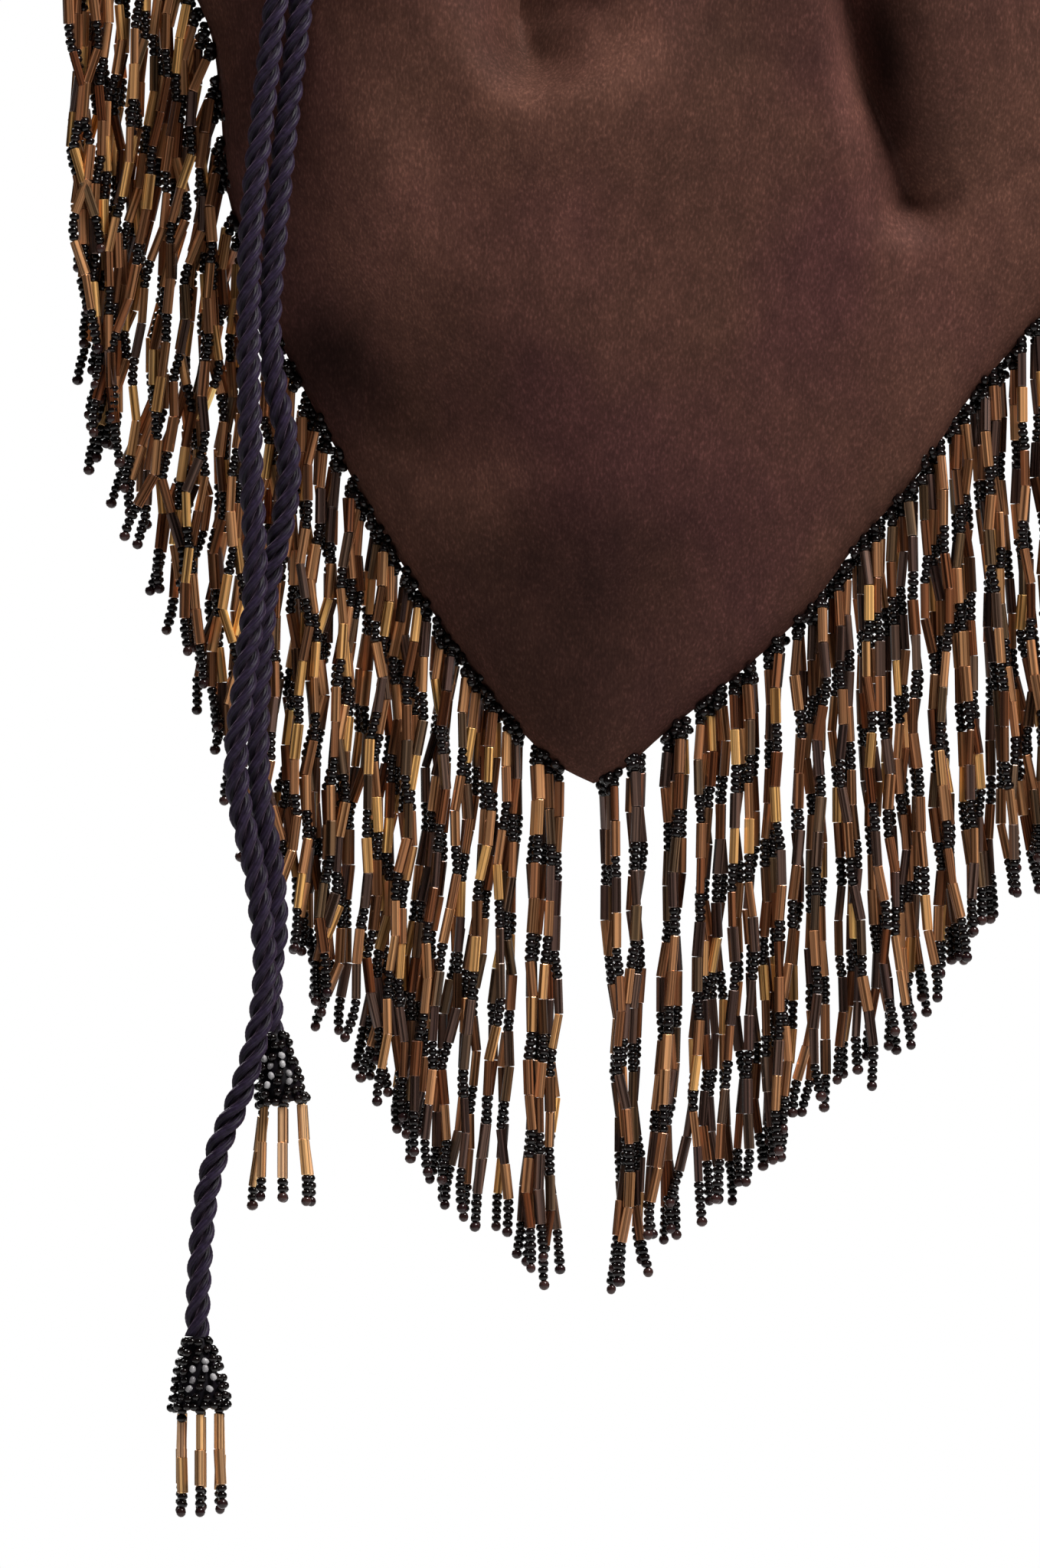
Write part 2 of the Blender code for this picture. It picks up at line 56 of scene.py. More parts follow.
RANDOM_SEED = 41

# The photo's frame: where its pixels lie in the plane through the neck and the hem
PHOTO_WIDTH = 1358
PHOTO_HEIGHT = 2048
PIXELS_A_METRE = 6570
POINT_PIXEL = (775, 1020)
CAMERA_DISTANCE = 2.4
SENSOR = 36.0

# Neck and frill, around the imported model's own sizes
TIP_DROP = 0.271
NECK_OFFSET = 0.006
NECK_HALF_WIDTH = 0.055
NECK_HALF_DEPTH = 0.021
NECK_BAND = 0.018
PLEATS = 11
PLEAT_DEPTH = 0.0018
PLEAT_FADE = 0.16
FRILL_HEIGHT = 0.024
FRILL_FLARE = 0.009
FRILL_WAVE = 0.0036
FRILL_ROUNDING = 1.5
FRILL_CURL = 1.5
# The frill's pleats are uneven: their mean height as a share, how much it varies, in how many waves
FRILL_MEAN, FRILL_VARIES, FRILL_WAVES = 0.82, 0.18, 3.3
FRILL_EDGE_WAVE, FRILL_EDGE_WAVES, FRILL_EDGE_DROP = 0.0008, 4.6, 0.0005

# Cloth: its thickness, how it swells out, how folds begin and end, and how finely it is divided
VELVET = 0.0012
LINING = 0.0007
FIT_GAP = 0.0003
BELLY_FRONT = 0.020
BELLY_BACK = 0.018
LINING_BELLY = 0.004
LINING_INSET = 0.008
SWELL_ACROSS = 0.6
SWELL_UP = 0.8
FOLD_ONSET = 0.25
HEM_FADE = 0.15
SIDE_FADE = 0.5
CREASE = 0.0005
CRISP_POWER = 1.25
STEEP_RATE = 1.5
SPAN_STEPS = 8
# Small waves of the cloth, as (height, scale)
BROAD_RIPPLE, FINE_RIPPLE = (0.0009, 0.030), (0.0002, 0.009)
# How far the hem's rolled edge stands out from the outline, and from the plane between the panels
HEM_ROLL, HEM_DEPTH = 0.0005, 0.0008
HEM_COLUMNS = 22
FINE_HEM_COLUMNS = 400
FRONT_COLUMNS, FRONT_ROWS = 180, 172
BACK_COLUMNS, BACK_ROWS = 176, 100
LINING_COLUMNS, LINING_ROWS, LINING_SKIP = 44, 40, 2
LINING_GATHER = 0.0004
FRILL_ROWS = 18
# Columns of the front panel are closer together here, where its sharp fold runs
DENSE_START, DENSE_END, DENSE_COLUMNS = 0.640, 0.715, 70
SHARP_ANGLE = math.radians(60)

# Cord and casing
CORD = 0.005
TAPE = 0.0009
TAPE_HALF_HEIGHT = 0.0078
# Columns of the casing in a whole turn round the neck, and its rows
CASING_COLUMNS, CASING_ROWS = 420, 15
CASING_SLOPE, CASING_CROWN = 0.62, 0.8
# Gathers of the casing, as (height, number in a whole turn, phase)
CASING_GATHERS = ((0.00035, 46, 0.0), (0.0002, 71, 1.3))
# The gap where the cords come out, as shares of a turn round the neck
GAP_START, GAP_END = 6 / 88, 12 / 88

# The hem, from the left end of the neck round the point to its right end
LEFT_HEM = [
    (-0.0560, 0.2600), (-0.0780, 0.2450), (-0.0955, 0.2220), (-0.1005, 0.2040), (-0.0960, 0.1850),
    (-0.0850, 0.1670), (-0.0760, 0.1500), (-0.0735, 0.1320), (-0.0718, 0.1150), (-0.0624, 0.0890),
    (-0.0495, 0.0640), (-0.0358, 0.0405), (-0.0205, 0.0180), (-0.0085, 0.0048), (0.0000, 0.0000),
]
RIGHT_HEM = [
    (0.0000, 0.0000), (0.0060, 0.0030), (0.0145, 0.0105), (0.0282, 0.0215), (0.0419, 0.0340),
    (0.0520, 0.0475), (0.0640, 0.0610), (0.0740, 0.0760), (0.0887, 0.0930), (0.1010, 0.1100),
    (0.1100, 0.1350), (0.1130, 0.1620), (0.1090, 0.1920), (0.0990, 0.2200), (0.0860, 0.2430),
    (0.0670, 0.2600),
]

# Folds as (left bank, right bank, points), each point (sideways, height, left width, right width, lift)
FRONT_FOLDS = [
    ("crisp", "steep", [
        (0.0200, 0.262, 0.0040, 0.0080, -0.0040),
        (0.0290, 0.235, 0.0045, 0.0110, -0.0080),
        (0.0390, 0.205, 0.0050, 0.0140, -0.0110),
        (0.0455, 0.178, 0.0050, 0.0150, -0.0130),
        (0.0499, 0.1553, 0.0056, 0.0150, -0.0130),
        (0.0513, 0.1467, 0.0058, 0.0140, -0.0125),
        (0.0533, 0.1382, 0.0060, 0.0120, -0.0118),
        (0.0560, 0.1320, 0.0070, 0.0105, -0.0110),
        (0.0596, 0.1240, 0.0090, 0.0098, -0.0104),
        (0.0622, 0.1155, 0.0112, 0.0112, -0.0100),
    ]),
    ("soft", "soft", [
        (0.0450, 0.240, 0.0100, 0.0200, 0.0024),
        (0.0590, 0.200, 0.0120, 0.0240, 0.0060),
        (0.0660, 0.160, 0.0120, 0.0260, 0.0070),
        (0.0700, 0.138, 0.0110, 0.0220, 0.0050),
        (0.0740, 0.116, 0.0140, 0.0140, 0.0),
    ]),
    ("steep", "crisp", [
        (0.0020, 0.262, 0.0040, 0.0060, -0.0030),
        (-0.0065, 0.215, 0.0060, 0.0130, -0.0075),
        (-0.0110, 0.180, 0.0060, 0.0200, -0.0110),
        (-0.0140, 0.160, 0.0065, 0.0210, -0.0118),
        (-0.0146, 0.150, 0.0080, 0.0180, -0.0110),
        (-0.0130, 0.1425, 0.0110, 0.0110, -0.0085),
    ]),
    ("soft", "soft", [
        (0.0120, 0.182, 0.0160, 0.0160, 0.0010),
        (0.0250, 0.173, 0.0160, 0.0180, 0.0048),
        (0.0380, 0.176, 0.0160, 0.0160, 0.0020),
    ]),
    ("soft", "soft", [
        (-0.0350, 0.158, 0.0080, 0.0080, 0.0010),
        (-0.0240, 0.141, 0.0120, 0.0085, 0.0050),
        (-0.0110, 0.1325, 0.0160, 0.0085, 0.0070),
        (0.0030, 0.134, 0.0190, 0.0085, 0.0078),
        (0.0130, 0.143, 0.0190, 0.0085, 0.0064),
        (0.0200, 0.160, 0.0120, 0.0120, 0.0016),
    ]),
    ("soft", "soft", [
        (-0.0120, 0.262, 0.0060, 0.0060, 0.0020),
        (-0.0280, 0.190, 0.0090, 0.0090, 0.0040),
        (-0.0400, 0.150, 0.0110, 0.0110, 0.0038),
        (-0.0440, 0.122, 0.0110, 0.0110, 0.0016),
    ]),
    ("soft", "soft", [
        (-0.0620, 0.150, 0.0140, 0.0160, 0.0012),
        (-0.0500, 0.128, 0.0150, 0.0200, 0.0044),
        (-0.0330, 0.106, 0.0160, 0.0220, 0.0050),
        (-0.0150, 0.091, 0.0160, 0.0200, 0.0036),
        (0.0030, 0.080, 0.0150, 0.0160, 0.0010),
    ]),
    ("soft", "soft", [
        (-0.0610, 0.104, 0.0090, 0.0090, -0.0016),
        (-0.0500, 0.084, 0.0110, 0.0110, -0.0046),
        (-0.0360, 0.068, 0.0110, 0.0110, -0.0042),
        (-0.0200, 0.056, 0.0110, 0.0110, -0.0012),
    ]),
    ("soft", "soft", [
        (0.0360, 0.262, 0.0050, 0.0050, -0.0030),
        (0.0680, 0.200, 0.0080, 0.0080, -0.0050),
        (0.0900, 0.150, 0.0100, 0.0100, -0.0024),
    ]),
    ("soft", "soft", [
        (-0.0260, 0.262, 0.0050, 0.0050, -0.0030),
        (-0.0480, 0.200, 0.0080, 0.0080, -0.0050),
        (-0.0640, 0.140, 0.0090, 0.0090, -0.0030),
    ]),
    ("soft", "soft", [
        (0.0560, 0.062, 0.0040, 0.0050, -0.0010),
        (0.0480, 0.052, 0.0045, 0.0055, -0.0026),
        (0.0360, 0.044, 0.0045, 0.0050, -0.0008),
    ]),
    ("soft", "soft", [
        (-0.0140, 0.036, 0.0120, 0.0120, -0.0020),
        (0.0040, 0.029, 0.0140, 0.0140, -0.0046),
        (0.0220, 0.036, 0.0120, 0.0120, -0.0020),
    ]),
]
BACK_FOLDS = [
    ("soft", "steep", [
        (-0.0250, 0.262, 0.0050, 0.0060, -0.0040),
        (-0.0420, 0.210, 0.0070, 0.0090, -0.0075),
        (-0.0540, 0.170, 0.0080, 0.0100, -0.0065),
        (-0.0620, 0.140, 0.0090, 0.0090, -0.0030),
    ]),
    ("soft", "soft", [
        (0.0050, 0.262, 0.0050, 0.0050, -0.0030),
        (0.0030, 0.190, 0.0090, 0.0090, -0.0060),
        (0.0000, 0.120, 0.0130, 0.0130, -0.0030),
    ]),
    ("steep", "soft", [
        (0.0320, 0.262, 0.0060, 0.0050, -0.0040),
        (0.0500, 0.205, 0.0090, 0.0070, -0.0075),
        (0.0620, 0.165, 0.0100, 0.0080, -0.0060),
        (0.0680, 0.135, 0.0090, 0.0090, -0.0030),
    ]),
    ("soft", "soft", [
        (-0.0300, 0.120, 0.0080, 0.0080, 0.0006),
        (0.0000, 0.090, 0.0090, 0.0090, 0.0020),
        (0.0350, 0.110, 0.0090, 0.0090, 0.0006),
    ]),
]

# Painted light and shade on the front: each patch (sideways, height, reach across, reach up, how much
# lighter or darker)
PAINTED_LIGHT_PATCHES = [
    (-0.0167, 0.1290, 0.0160, 0.0130, 0.45),
    (0.0070, 0.1455, 0.0090, 0.0100, 0.55),
    (-0.0167, 0.1415, 0.0075, 0.0065, -0.50),
    (-0.0510, 0.1400, 0.0100, 0.0200, 0.35),
    (0.0290, 0.1480, 0.0160, 0.0110, -0.42),
    (0.0746, 0.1507, 0.0100, 0.0100, -0.22),
    (-0.0390, 0.1080, 0.0160, 0.0220, 0.60),
    (-0.0525, 0.0840, 0.0090, 0.0090, -1.30),
    (-0.0440, 0.0730, 0.0090, 0.0080, -0.50),
    # A painted highlight on the lip of the front's sharp fold
    (0.0510, 0.1420, 0.0040, 0.0150, 0.60),
    (0.0720, 0.0800, 0.0170, 0.0220, 0.25),
    (0.0670, 0.1120, 0.0160, 0.0130, 0.22),
    (0.0860, 0.1150, 0.0120, 0.0180, 0.20),
    (-0.0060, 0.1130, 0.0120, 0.0120, 0.35),
    (-0.0210, 0.0610, 0.0120, 0.0070, 0.45),
    (-0.0030, 0.0260, 0.0190, 0.0190, -0.90),
    (-0.0200, 0.0420, 0.0110, 0.0090, -0.40),
    (0.0070, 0.0500, 0.0140, 0.0080, -0.35),
    # Painted shade in the sharp fold's crease
    (0.0560, 0.1480, 0.0032, 0.0070, -1.20),
    (0.0580, 0.1390, 0.0032, 0.0070, -1.20),
    (0.0605, 0.1290, 0.0032, 0.0050, -0.60),
]

# Cords: the points they lie on, from the casing down to their tassels
LONG_CORD = [
    (-0.0381, -0.0207, 0.0000), (-0.0410, -0.0197, 0.0000), (-0.0452, -0.0214, -0.0012),
    (-0.0489, -0.0232, -0.0042), (-0.0517, -0.0236, -0.0090), (-0.0536, -0.0234, -0.0155),
    (-0.0556, -0.0232, -0.0260), (-0.0580, -0.0248, -0.0420), (-0.0600, -0.0263, -0.0550),
    (-0.0622, -0.0274, -0.0700), (-0.0644, -0.0276, -0.0850), (-0.0663, -0.0266, -0.1000),
    (-0.0684, -0.0254, -0.1158), (-0.0711, -0.0248, -0.1386), (-0.0735, -0.0245, -0.1614),
    (-0.0740, -0.0245, -0.1842), (-0.0736, -0.0245, -0.2071), (-0.0727, -0.0245, -0.2310),
    (-0.0743, -0.0245, -0.2467), (-0.0764, -0.0245, -0.2650), (-0.0756, -0.0245, -0.2765),
    (-0.0731, -0.0245, -0.2870), (-0.0713, -0.0245, -0.2996), (-0.0708, -0.0245, -0.3091),
    (-0.0722, -0.0245, -0.3205), (-0.0759, -0.0245, -0.3334), (-0.0797, -0.0245, -0.3426),
    (-0.0824, -0.0245, -0.3532), (-0.0836, -0.0245, -0.3660), (-0.0842, -0.0245, -0.3803),
]
SHORT_CORD = [
    (-0.0531, -0.0129, 0.0000), (-0.0508, -0.0148, 0.0000), (-0.0476, -0.0173, -0.0040),
    (-0.0459, -0.0189, -0.0095), (-0.0453, -0.0205, -0.0165), (-0.0466, -0.0235, -0.0260),
    (-0.0500, -0.0265, -0.0420), (-0.0532, -0.0273, -0.0550), (-0.0566, -0.0269, -0.0700),
    (-0.0592, -0.0256, -0.0850), (-0.0612, -0.0240, -0.1000), (-0.0634, -0.0226, -0.1158),
    (-0.0656, -0.0222, -0.1330), (-0.0679, -0.0219, -0.1538), (-0.0700, -0.0208, -0.1790),
    (-0.0690, -0.0209, -0.1919), (-0.0669, -0.0214, -0.2020), (-0.0661, -0.0212, -0.2101),
    (-0.0672, -0.0206, -0.2192), (-0.0703, -0.0192, -0.2320), (-0.0717, -0.0193, -0.2467),
    (-0.0724, -0.0202, -0.2620), (-0.0717, -0.0203, -0.2756), (-0.0696, -0.0200, -0.2870),
    (-0.0687, -0.0194, -0.2996), (-0.0698, -0.0189, -0.3091), (-0.0696, -0.0189, -0.3205),
]
ROPE_PITCH = 0.0144
ROPE_STEP = 0.0007
PLIES = 3
PLY_OVERLAP = 1.02
PLY_SIDES = 14
YARN_TURNS = 9.0
YARN_RISE = 260.0

# Fringe
SECTIONS = 34
SECTION_STRANDS = 7
STRAND_LAYERS = (0, 4, 1, 5, 2, 6, 3)
LAYER_STEP = 0.0014
CLOSEST = 0.00036
STEEP_HEM = 0.90
STEEP_START, STEEP_SPAN = 0.78, 0.18
SEED_WIDTH = 0.0020
SEED_TILT = 0.30
SEED_HEIGHT = 0.00140
SEED_SIDES, SEED_SHOULDER, SEED_MOUTH = 8, 0.22, 0.60
BUGLE_WIDTH = 0.00205
BUGLE_LENGTH = 0.0070
BUGLE_GAP = 0.000035
BUGLE_SIDES, BUGLE_MOUTH = 6, 0.90
CUT_CORNER = 0.00012
END_BEAD = 0.0021
END_HEIGHT = 0.9
THREAD = 0.0004
TOP_SEEDS = 3
BUGLE_PAIRS = 5
BETWEEN_SEEDS = (3, 4, 4, 4)
LAST_SEEDS = (4, 4, 5)
SEED_GIRTHS = (0.92, 1.12)
BUGLE_GIRTHS = (0.86, 1.12)
# Tones of the bugles: (share of them up to this line, lowest tone, highest tone)
BUGLE_TONES = [(0.36, 0.0, 0.42), (0.54, 0.44, 0.56), (0.93, 0.58, 0.88), (1.0, 0.90, 0.95)]
GOLDEN_TONES = (0.96, 1.0)
# Shifts the painted highlight bands from bead to bead, by its tone
PAINTED_BAND_SHIFT = 90.0
# More of the bugles are golden towards the left side
GOLDEN_START, GOLDEN_SPAN, GOLDEN_MOST = -0.035, 0.040, 0.55
STRAND_LENGTH = 0.106
STRAND_STRETCH = (0.97, 1.02)
SEWN_OUT, STEEP_OUT, SEWN_UNEVEN = 0.0008, 0.0024, 0.0008
# Neighbours that lean together: how many, how close, and where and how far they are drawn to their middle
GROUP_SIZES = (2, 3, 4, 4, 5, 6)
GROUP_SQUEEZE = (0.55, 0.90)
PULL_SHIFT = 0.0012
PULL_HEIGHT = (0.020, 0.090)
PULL_REACH = (0.2, 0.75)
PULL_SPAN = (0.018, 0.032)
# Sway of a strand sideways and in depth, with more where the hem is steep
SWAY, STEEP_SWAY, SWAY_LENGTHS = 0.0006, 0.0006, (0.034, 0.075)
DEPTH_SWAY, DEPTH_SWAY_LENGTHS = 0.0003, (0.050,)
SWAY_HEIGHTS, SWAY_STRETCHES = (0.4, 1.0), (0.8, 1.3)
SWAY_ONSET = 0.030
HANG_ONSET = 0.007
# A strand drifts to its end over this share of its length
DRIFT_SPAN = 1.15
END_FLARE, FLARE_START = 0.0026, 0.080
KINK, STEEP_KINK, KINK_LENGTH = (0.0002, 0.0005), 0.0005, 0.021
# Seeds sewn round the top of a strand: how many, and how far beside, in front or behind, and below
EDGING_SEEDS = (1, 2, 3, 4, 5)
EDGING_BESIDE, EDGING_AHEAD, EDGING_BELOW = 0.0012, (0.0010, 0.0022), (0.0002, 0.0034)
# Clear stretches beside the pair of strands at the hem's point, sideways from it
TIP_GAPS = [(-0.0040, -0.0016), (0.0036, 0.0076)]
# The line on which the strands end, from the hem's point out to the left and to the right
LEFT_ENDS = [
    (-0.0014, -0.1056), (-0.0104, -0.1021), (-0.0202, -0.0930), (-0.0311, -0.0852),
    (-0.0391, -0.0744), (-0.0444, -0.0620), (-0.0521, -0.0534), (-0.0560, -0.0429),
    (-0.0600, -0.0356), (-0.0670, -0.0198), (-0.0746, -0.0014), (-0.0772, 0.0107),
    (-0.0810, 0.0174), (-0.0875, 0.0350), (-0.0910, 0.0457), (-0.0970, 0.0548), (-0.1000, 0.0718),
    (-0.1020, 0.1000), (-0.1010, 0.1300), (-0.0950, 0.1550),
]
RIGHT_ENDS = [
    (0.0044, -0.1030), (0.0091, -0.0995), (0.0180, -0.0900), (0.0277, -0.0863), (0.0321, -0.0816),
    (0.0437, -0.0690), (0.0527, -0.0630), (0.0613, -0.0528), (0.0667, -0.0443), (0.0731, -0.0373),
    (0.0840, -0.0260), (0.0900, -0.0186), (0.1040, 0.0040), (0.1120, 0.0300), (0.1165, 0.0560),
    (0.1160, 0.0860), (0.1080, 0.1300), (0.0950, 0.1550),
]

SEED, BUGLE, END, GLINT_SEED = 0, 1, 2, 3
BEAD_LENGTH = {SEED: SEED_HEIGHT, BUGLE: BUGLE_LENGTH, END: END_BEAD * END_HEIGHT, GLINT_SEED: SEED_HEIGHT}

# Tassels
CAP_LENGTH = 0.0135
CAP_RINGS = 8
CAP_TOP, CAP_SPREAD, CAP_CURVE = 0.0024, 0.0028, 0.8
CAP_FEWEST = 9
CAP_BULGE = 0.0006
CAP_UNEVEN, CAP_PROUD = 0.0003, 0.0004
CAP_SHIFT, CAP_TURN, CAP_FLARE = 0.2, 0.7, 0.4
CAP_PACKING = 0.98
CAP_GIRTH, GLINT_GIRTH = 0.86, 0.62
# Upright rows of pale seeds in a cap, which face the front as painted glints: their angles and the rings
# that they run through
GLINT_ROWS, GLINT_RINGS = (1.1, 2.0), (2, 3, 4, 5)
# The cap's core as (share of its length, radius)
CORE = [(-0.038, 0.0021), (0.02, 0.0025), (0.3, 0.0030), (0.7, 0.0042), (0.95, 0.0046), (1.0, 0.0036)]
CORE_SIDES = 16
TASSEL_STRANDS = 6
TASSEL_RING = 0.0042
TASSEL_RISE = 0.0020
TASSEL_SWAY, TASSEL_SWAY_LENGTHS = 0.0006, (0.020,)
# For each tassel how far its cap leans, the range by which its strands splay, and its seed
LOWER_TASSEL = (0.0008, (0.00, 0.06), 7)
UPPER_TASSEL = (0.0022, (0.02, 0.28), 11)

# Studio
FLOOR_RADIUS, FLOOR_LEVEL, FLOOR_SIDES = 2.2, -0.75, 96
ROOM_LIGHT = 0.035
FLOOR_GLOW = 0.42
BAG_MIDDLE = (0, 0, -0.22)


# Node helpers
def new_material(name):
    material = bpy.data.materials.new(name)
    material.use_nodes = True
    tree = material.node_tree
    return material, tree, tree.nodes["Principled BSDF"]


def set_inputs(tree, node, inputs):
    """Each input takes a value, or the socket that feeds it."""
    for key, value in inputs.items():
        if isinstance(value, bpy.types.NodeSocket):
            tree.links.new(value, node.inputs[key])
        else:
            node.inputs[key].default_value = value


def add_node(tree, kind, inputs=None, **settings):
    """A node with its settings and inputs."""
    node = tree.nodes.new(kind)
    for key, value in settings.items():
        setattr(node, key, value)
    set_inputs(tree, node, inputs or {})
    return node


def result_of(tree, kind, inputs=None, **settings):
    """The first output of a new node."""
    return add_node(tree, kind, inputs, **settings).outputs[0]


def maths(tree, operation, *values):
    return result_of(tree, "ShaderNodeMath", dict(enumerate(values)), operation=operation)


def product(tree, first, second):
    return maths(tree, "MULTIPLY", first, second)


def vector_of(tree, x, y, z):
    return result_of(tree, "ShaderNodeCombineXYZ", {"X": x, "Y": y, "Z": z})


def parts_of(tree, vector):
    return add_node(tree, "ShaderNodeSeparateXYZ", {0: vector}).outputs


def attribute_of(tree, name, output="Fac"):
    return add_node(tree, "ShaderNodeAttribute", attribute_name=name).outputs[output]


def object_place(tree):
    """Where a point of the surface lies, in the model's own frame."""
    return tree.nodes.new("ShaderNodeTexCoord").outputs["Object"]


def noise_of(tree, source, scale, detail, stretch=(1, 1, 1)):
    place = result_of(tree, "ShaderNodeMapping", {"Vector": source, "Scale": stretch})
    return result_of(tree, "ShaderNodeTexNoise", {"Vector": place, "Scale": scale, "Detail": detail})


def ramp_of(tree, source, first, *middle, last):
    """A colour ramp through stops of (place, colour)."""
    ramp = add_node(tree, "ShaderNodeValToRGB", {"Fac": source})
    elements = ramp.color_ramp.elements
    for element, (place, colour) in zip(elements, (first, last), strict=True):
        element.position = place
        element.color = (*colour, 1)
    for place, colour in middle:
        elements.new(place).color = (*colour, 1)
    return ramp.outputs["Color"]


def multiplied(tree, first, second):
    """The product of two colours."""
    both = {0: 1.0, 6: first, 7: second}
    return add_node(tree, "ShaderNodeMix", both, data_type="RGBA", blend_type="MULTIPLY").outputs[2]


def bump_of(tree, source, strength, distance):
    sizes = {"Height": source, "Strength": strength, "Distance": distance}
    return result_of(tree, "ShaderNodeBump", sizes)


# Materials
def velvet_material():
    """Short pile: browns that drift over the cloth, crushed spots, light flecks, and painted light and shade
    from the front's patches.
    """
    material, tree, shader = new_material("brown_velvet")
    place = object_place(tree)
    drift = noise_of(tree, place, 17, 3, (1, 1, 0.7))
    dark, plain, light = (0.078, 0.031, 0.028), (0.089, 0.039, 0.029), (0.102, 0.048, 0.033)
    brown = ramp_of(tree, drift, (0.34, dark), (0.50, plain), last=(0.68, light))
    crush = noise_of(tree, place, 240, 4, (1, 1, 0.6))
    crushed = ramp_of(tree, crush, (0.30, (0.84, 0.84, 0.84)), last=(0.70, (1.16, 1.14, 1.12)))
    pile = noise_of(tree, place, 2300, 3, (1, 1, 0.42))
    shaded, even, lit = (0.74, 0.74, 0.74), (1.0, 1.0, 1.0), (1.75, 1.70, 1.76)
    flecks = ramp_of(tree, pile, (0.36, shaded), (0.56, even), last=(0.76, lit))
    # Painted light and shade: the front's patches scale its colour up or down
    painted_shading = maths(tree, "EXPONENT", attribute_of(tree, "painted_light_and_shade"))
    colour = multiplied(tree, multiplied(tree, brown, crushed), flecks)
    painted_colour = result_of(tree, "ShaderNodeVectorMath", {0: colour, "Scale": painted_shading}, operation="SCALE")
    roughness = add_node(tree, "ShaderNodeMapRange", {"Value": drift, "To Min": 0.62, "To Max": 0.78})
    finish = {
        "Base Color": painted_colour,
        "Roughness": roughness.outputs["Result"],
        "Specular IOR Level": 0.06,
        "Sheen Weight": 0.05,
        "Sheen Roughness": 0.30,
        "Sheen Tint": (0.80, 0.58, 0.56, 1),
        "Normal": bump_of(tree, pile, 0.15, 0.0001),
    }
    set_inputs(tree, shader, finish)
    return material


def satin_material():
    material, tree, shader = new_material("brown_satin")
    weave = noise_of(tree, object_place(tree), 1800, 2, (1, 1, 0.2))
    tone = ramp_of(tree, weave, (0.35, (0.050, 0.028, 0.024)), last=(0.70, (0.080, 0.046, 0.036)))
    bump = bump_of(tree, weave, 0.2, 0.0002)
    set_inputs(tree, shader, {"Base Color": tone, "Roughness": 0.42, "Normal": bump})
    return material


def rope_material():
    """Plum yarn, wound round each ply, with painted shade in the grooves between the plies."""
    material, tree, shader = new_material("plum_rope")
    around = product(tree, attribute_of(tree, "around"), YARN_TURNS)
    along = product(tree, attribute_of(tree, "along"), YARN_RISE)
    yarn = maths(tree, "SINE", product(tree, maths(tree, "ADD", around, along), math.tau))
    fuzz = noise_of(tree, object_place(tree), 900, 3)
    tone = ramp_of(tree, fuzz, (0.30, (0.010, 0.0055, 0.0160)), last=(0.75, (0.036, 0.0235, 0.058)))
    thread = ramp_of(tree, yarn, (0.10, (0.72, 0.72, 0.72)), last=(0.90, (1.15, 1.15, 1.15)))
    # Painted shade: the colour darkens towards the rope's middle, in the grooves between the plies
    outward = attribute_of(tree, "outward")
    painted_groove_shade = ramp_of(tree, outward, (0.55, (0.10, 0.09, 0.11)), last=(0.97, (1.0, 1.0, 1.0)))
    finish = {
        "Base Color": multiplied(tree, multiplied(tree, tone, thread), painted_groove_shade),
        "Roughness": 0.50,
        "Specular IOR Level": 0.16,
        "Sheen Weight": 0.10,
        "Sheen Tint": (0.80, 0.56, 0.82, 1),
        "Normal": bump_of(tree, yarn, 0.40, 0.00014),
    }
    set_inputs(tree, shader, finish)
    return material


def bugle_material():
    """Lined brown glass: taupe, olive, copper or bronze from bead to bead, with painted highlights and shade
    in bands along its length.
    """
    material, tree, shader = new_material("bronze_bugle")
    tone = attribute_of(tree, "tone")
    glass = ramp_of(
        tree,
        tone,
        (0.00, (0.088, 0.051, 0.045)),
        (0.25, (0.165, 0.102, 0.081)),
        (0.40, (0.180, 0.112, 0.062)),
        (0.50, (0.165, 0.051, 0.020)),
        (0.62, (0.36, 0.158, 0.076)),
        (0.85, (0.62, 0.310, 0.145)),
        (0.94, (0.94, 0.520, 0.180)),
        last=(1.00, (0.96, 0.560, 0.330)),
    )
    # Painted highlights and shade: bright and dark bands round each bead stand in for reflections off its
    # facets
    parts = parts_of(tree, attribute_of(tree, "round", "Vector"))
    spot = vector_of(tree, parts["X"], parts["Y"], product(tree, tone, PAINTED_BAND_SHIFT))
    painted_band_pattern = noise_of(tree, spot, 4.2, 1.5)
    dark, plain, light = (0.24, 0.20, 0.17), (0.85, 0.85, 0.85), (1.95, 1.90, 1.80)
    lines = ramp_of(tree, painted_band_pattern, (0.36, dark), (0.50, plain), last=(0.64, light))
    finish = {
        "Base Color": multiplied(tree, glass, lines),
        "Metallic": 0.45,
        "Roughness": 0.24,
        "Coat Weight": 0.30,
        "Coat Roughness": 0.10,
    }
    set_inputs(tree, shader, finish)
    return material


def glossy_material(name, low, high, roughness):
    """Glass of two close tones, which differ from bead to bead."""
    material, tree, shader = new_material(name)
    tone = ramp_of(tree, attribute_of(tree, "tone"), (0.2, low), last=(0.8, high))
    set_inputs(tree, shader, {"Base Color": tone, "Roughness": roughness, "Specular IOR Level": 0.38})
    return material


def thread_material():
    material, tree, shader = new_material("dark_thread")
    fuzz = noise_of(tree, object_place(tree), 3000, 1)
    tone = ramp_of(tree, fuzz, (0.3, (0.012, 0.009, 0.009)), last=(0.7, (0.035, 0.026, 0.024)))
    set_inputs(tree, shader, {"Base Color": tone, "Roughness": 0.7})
    return material


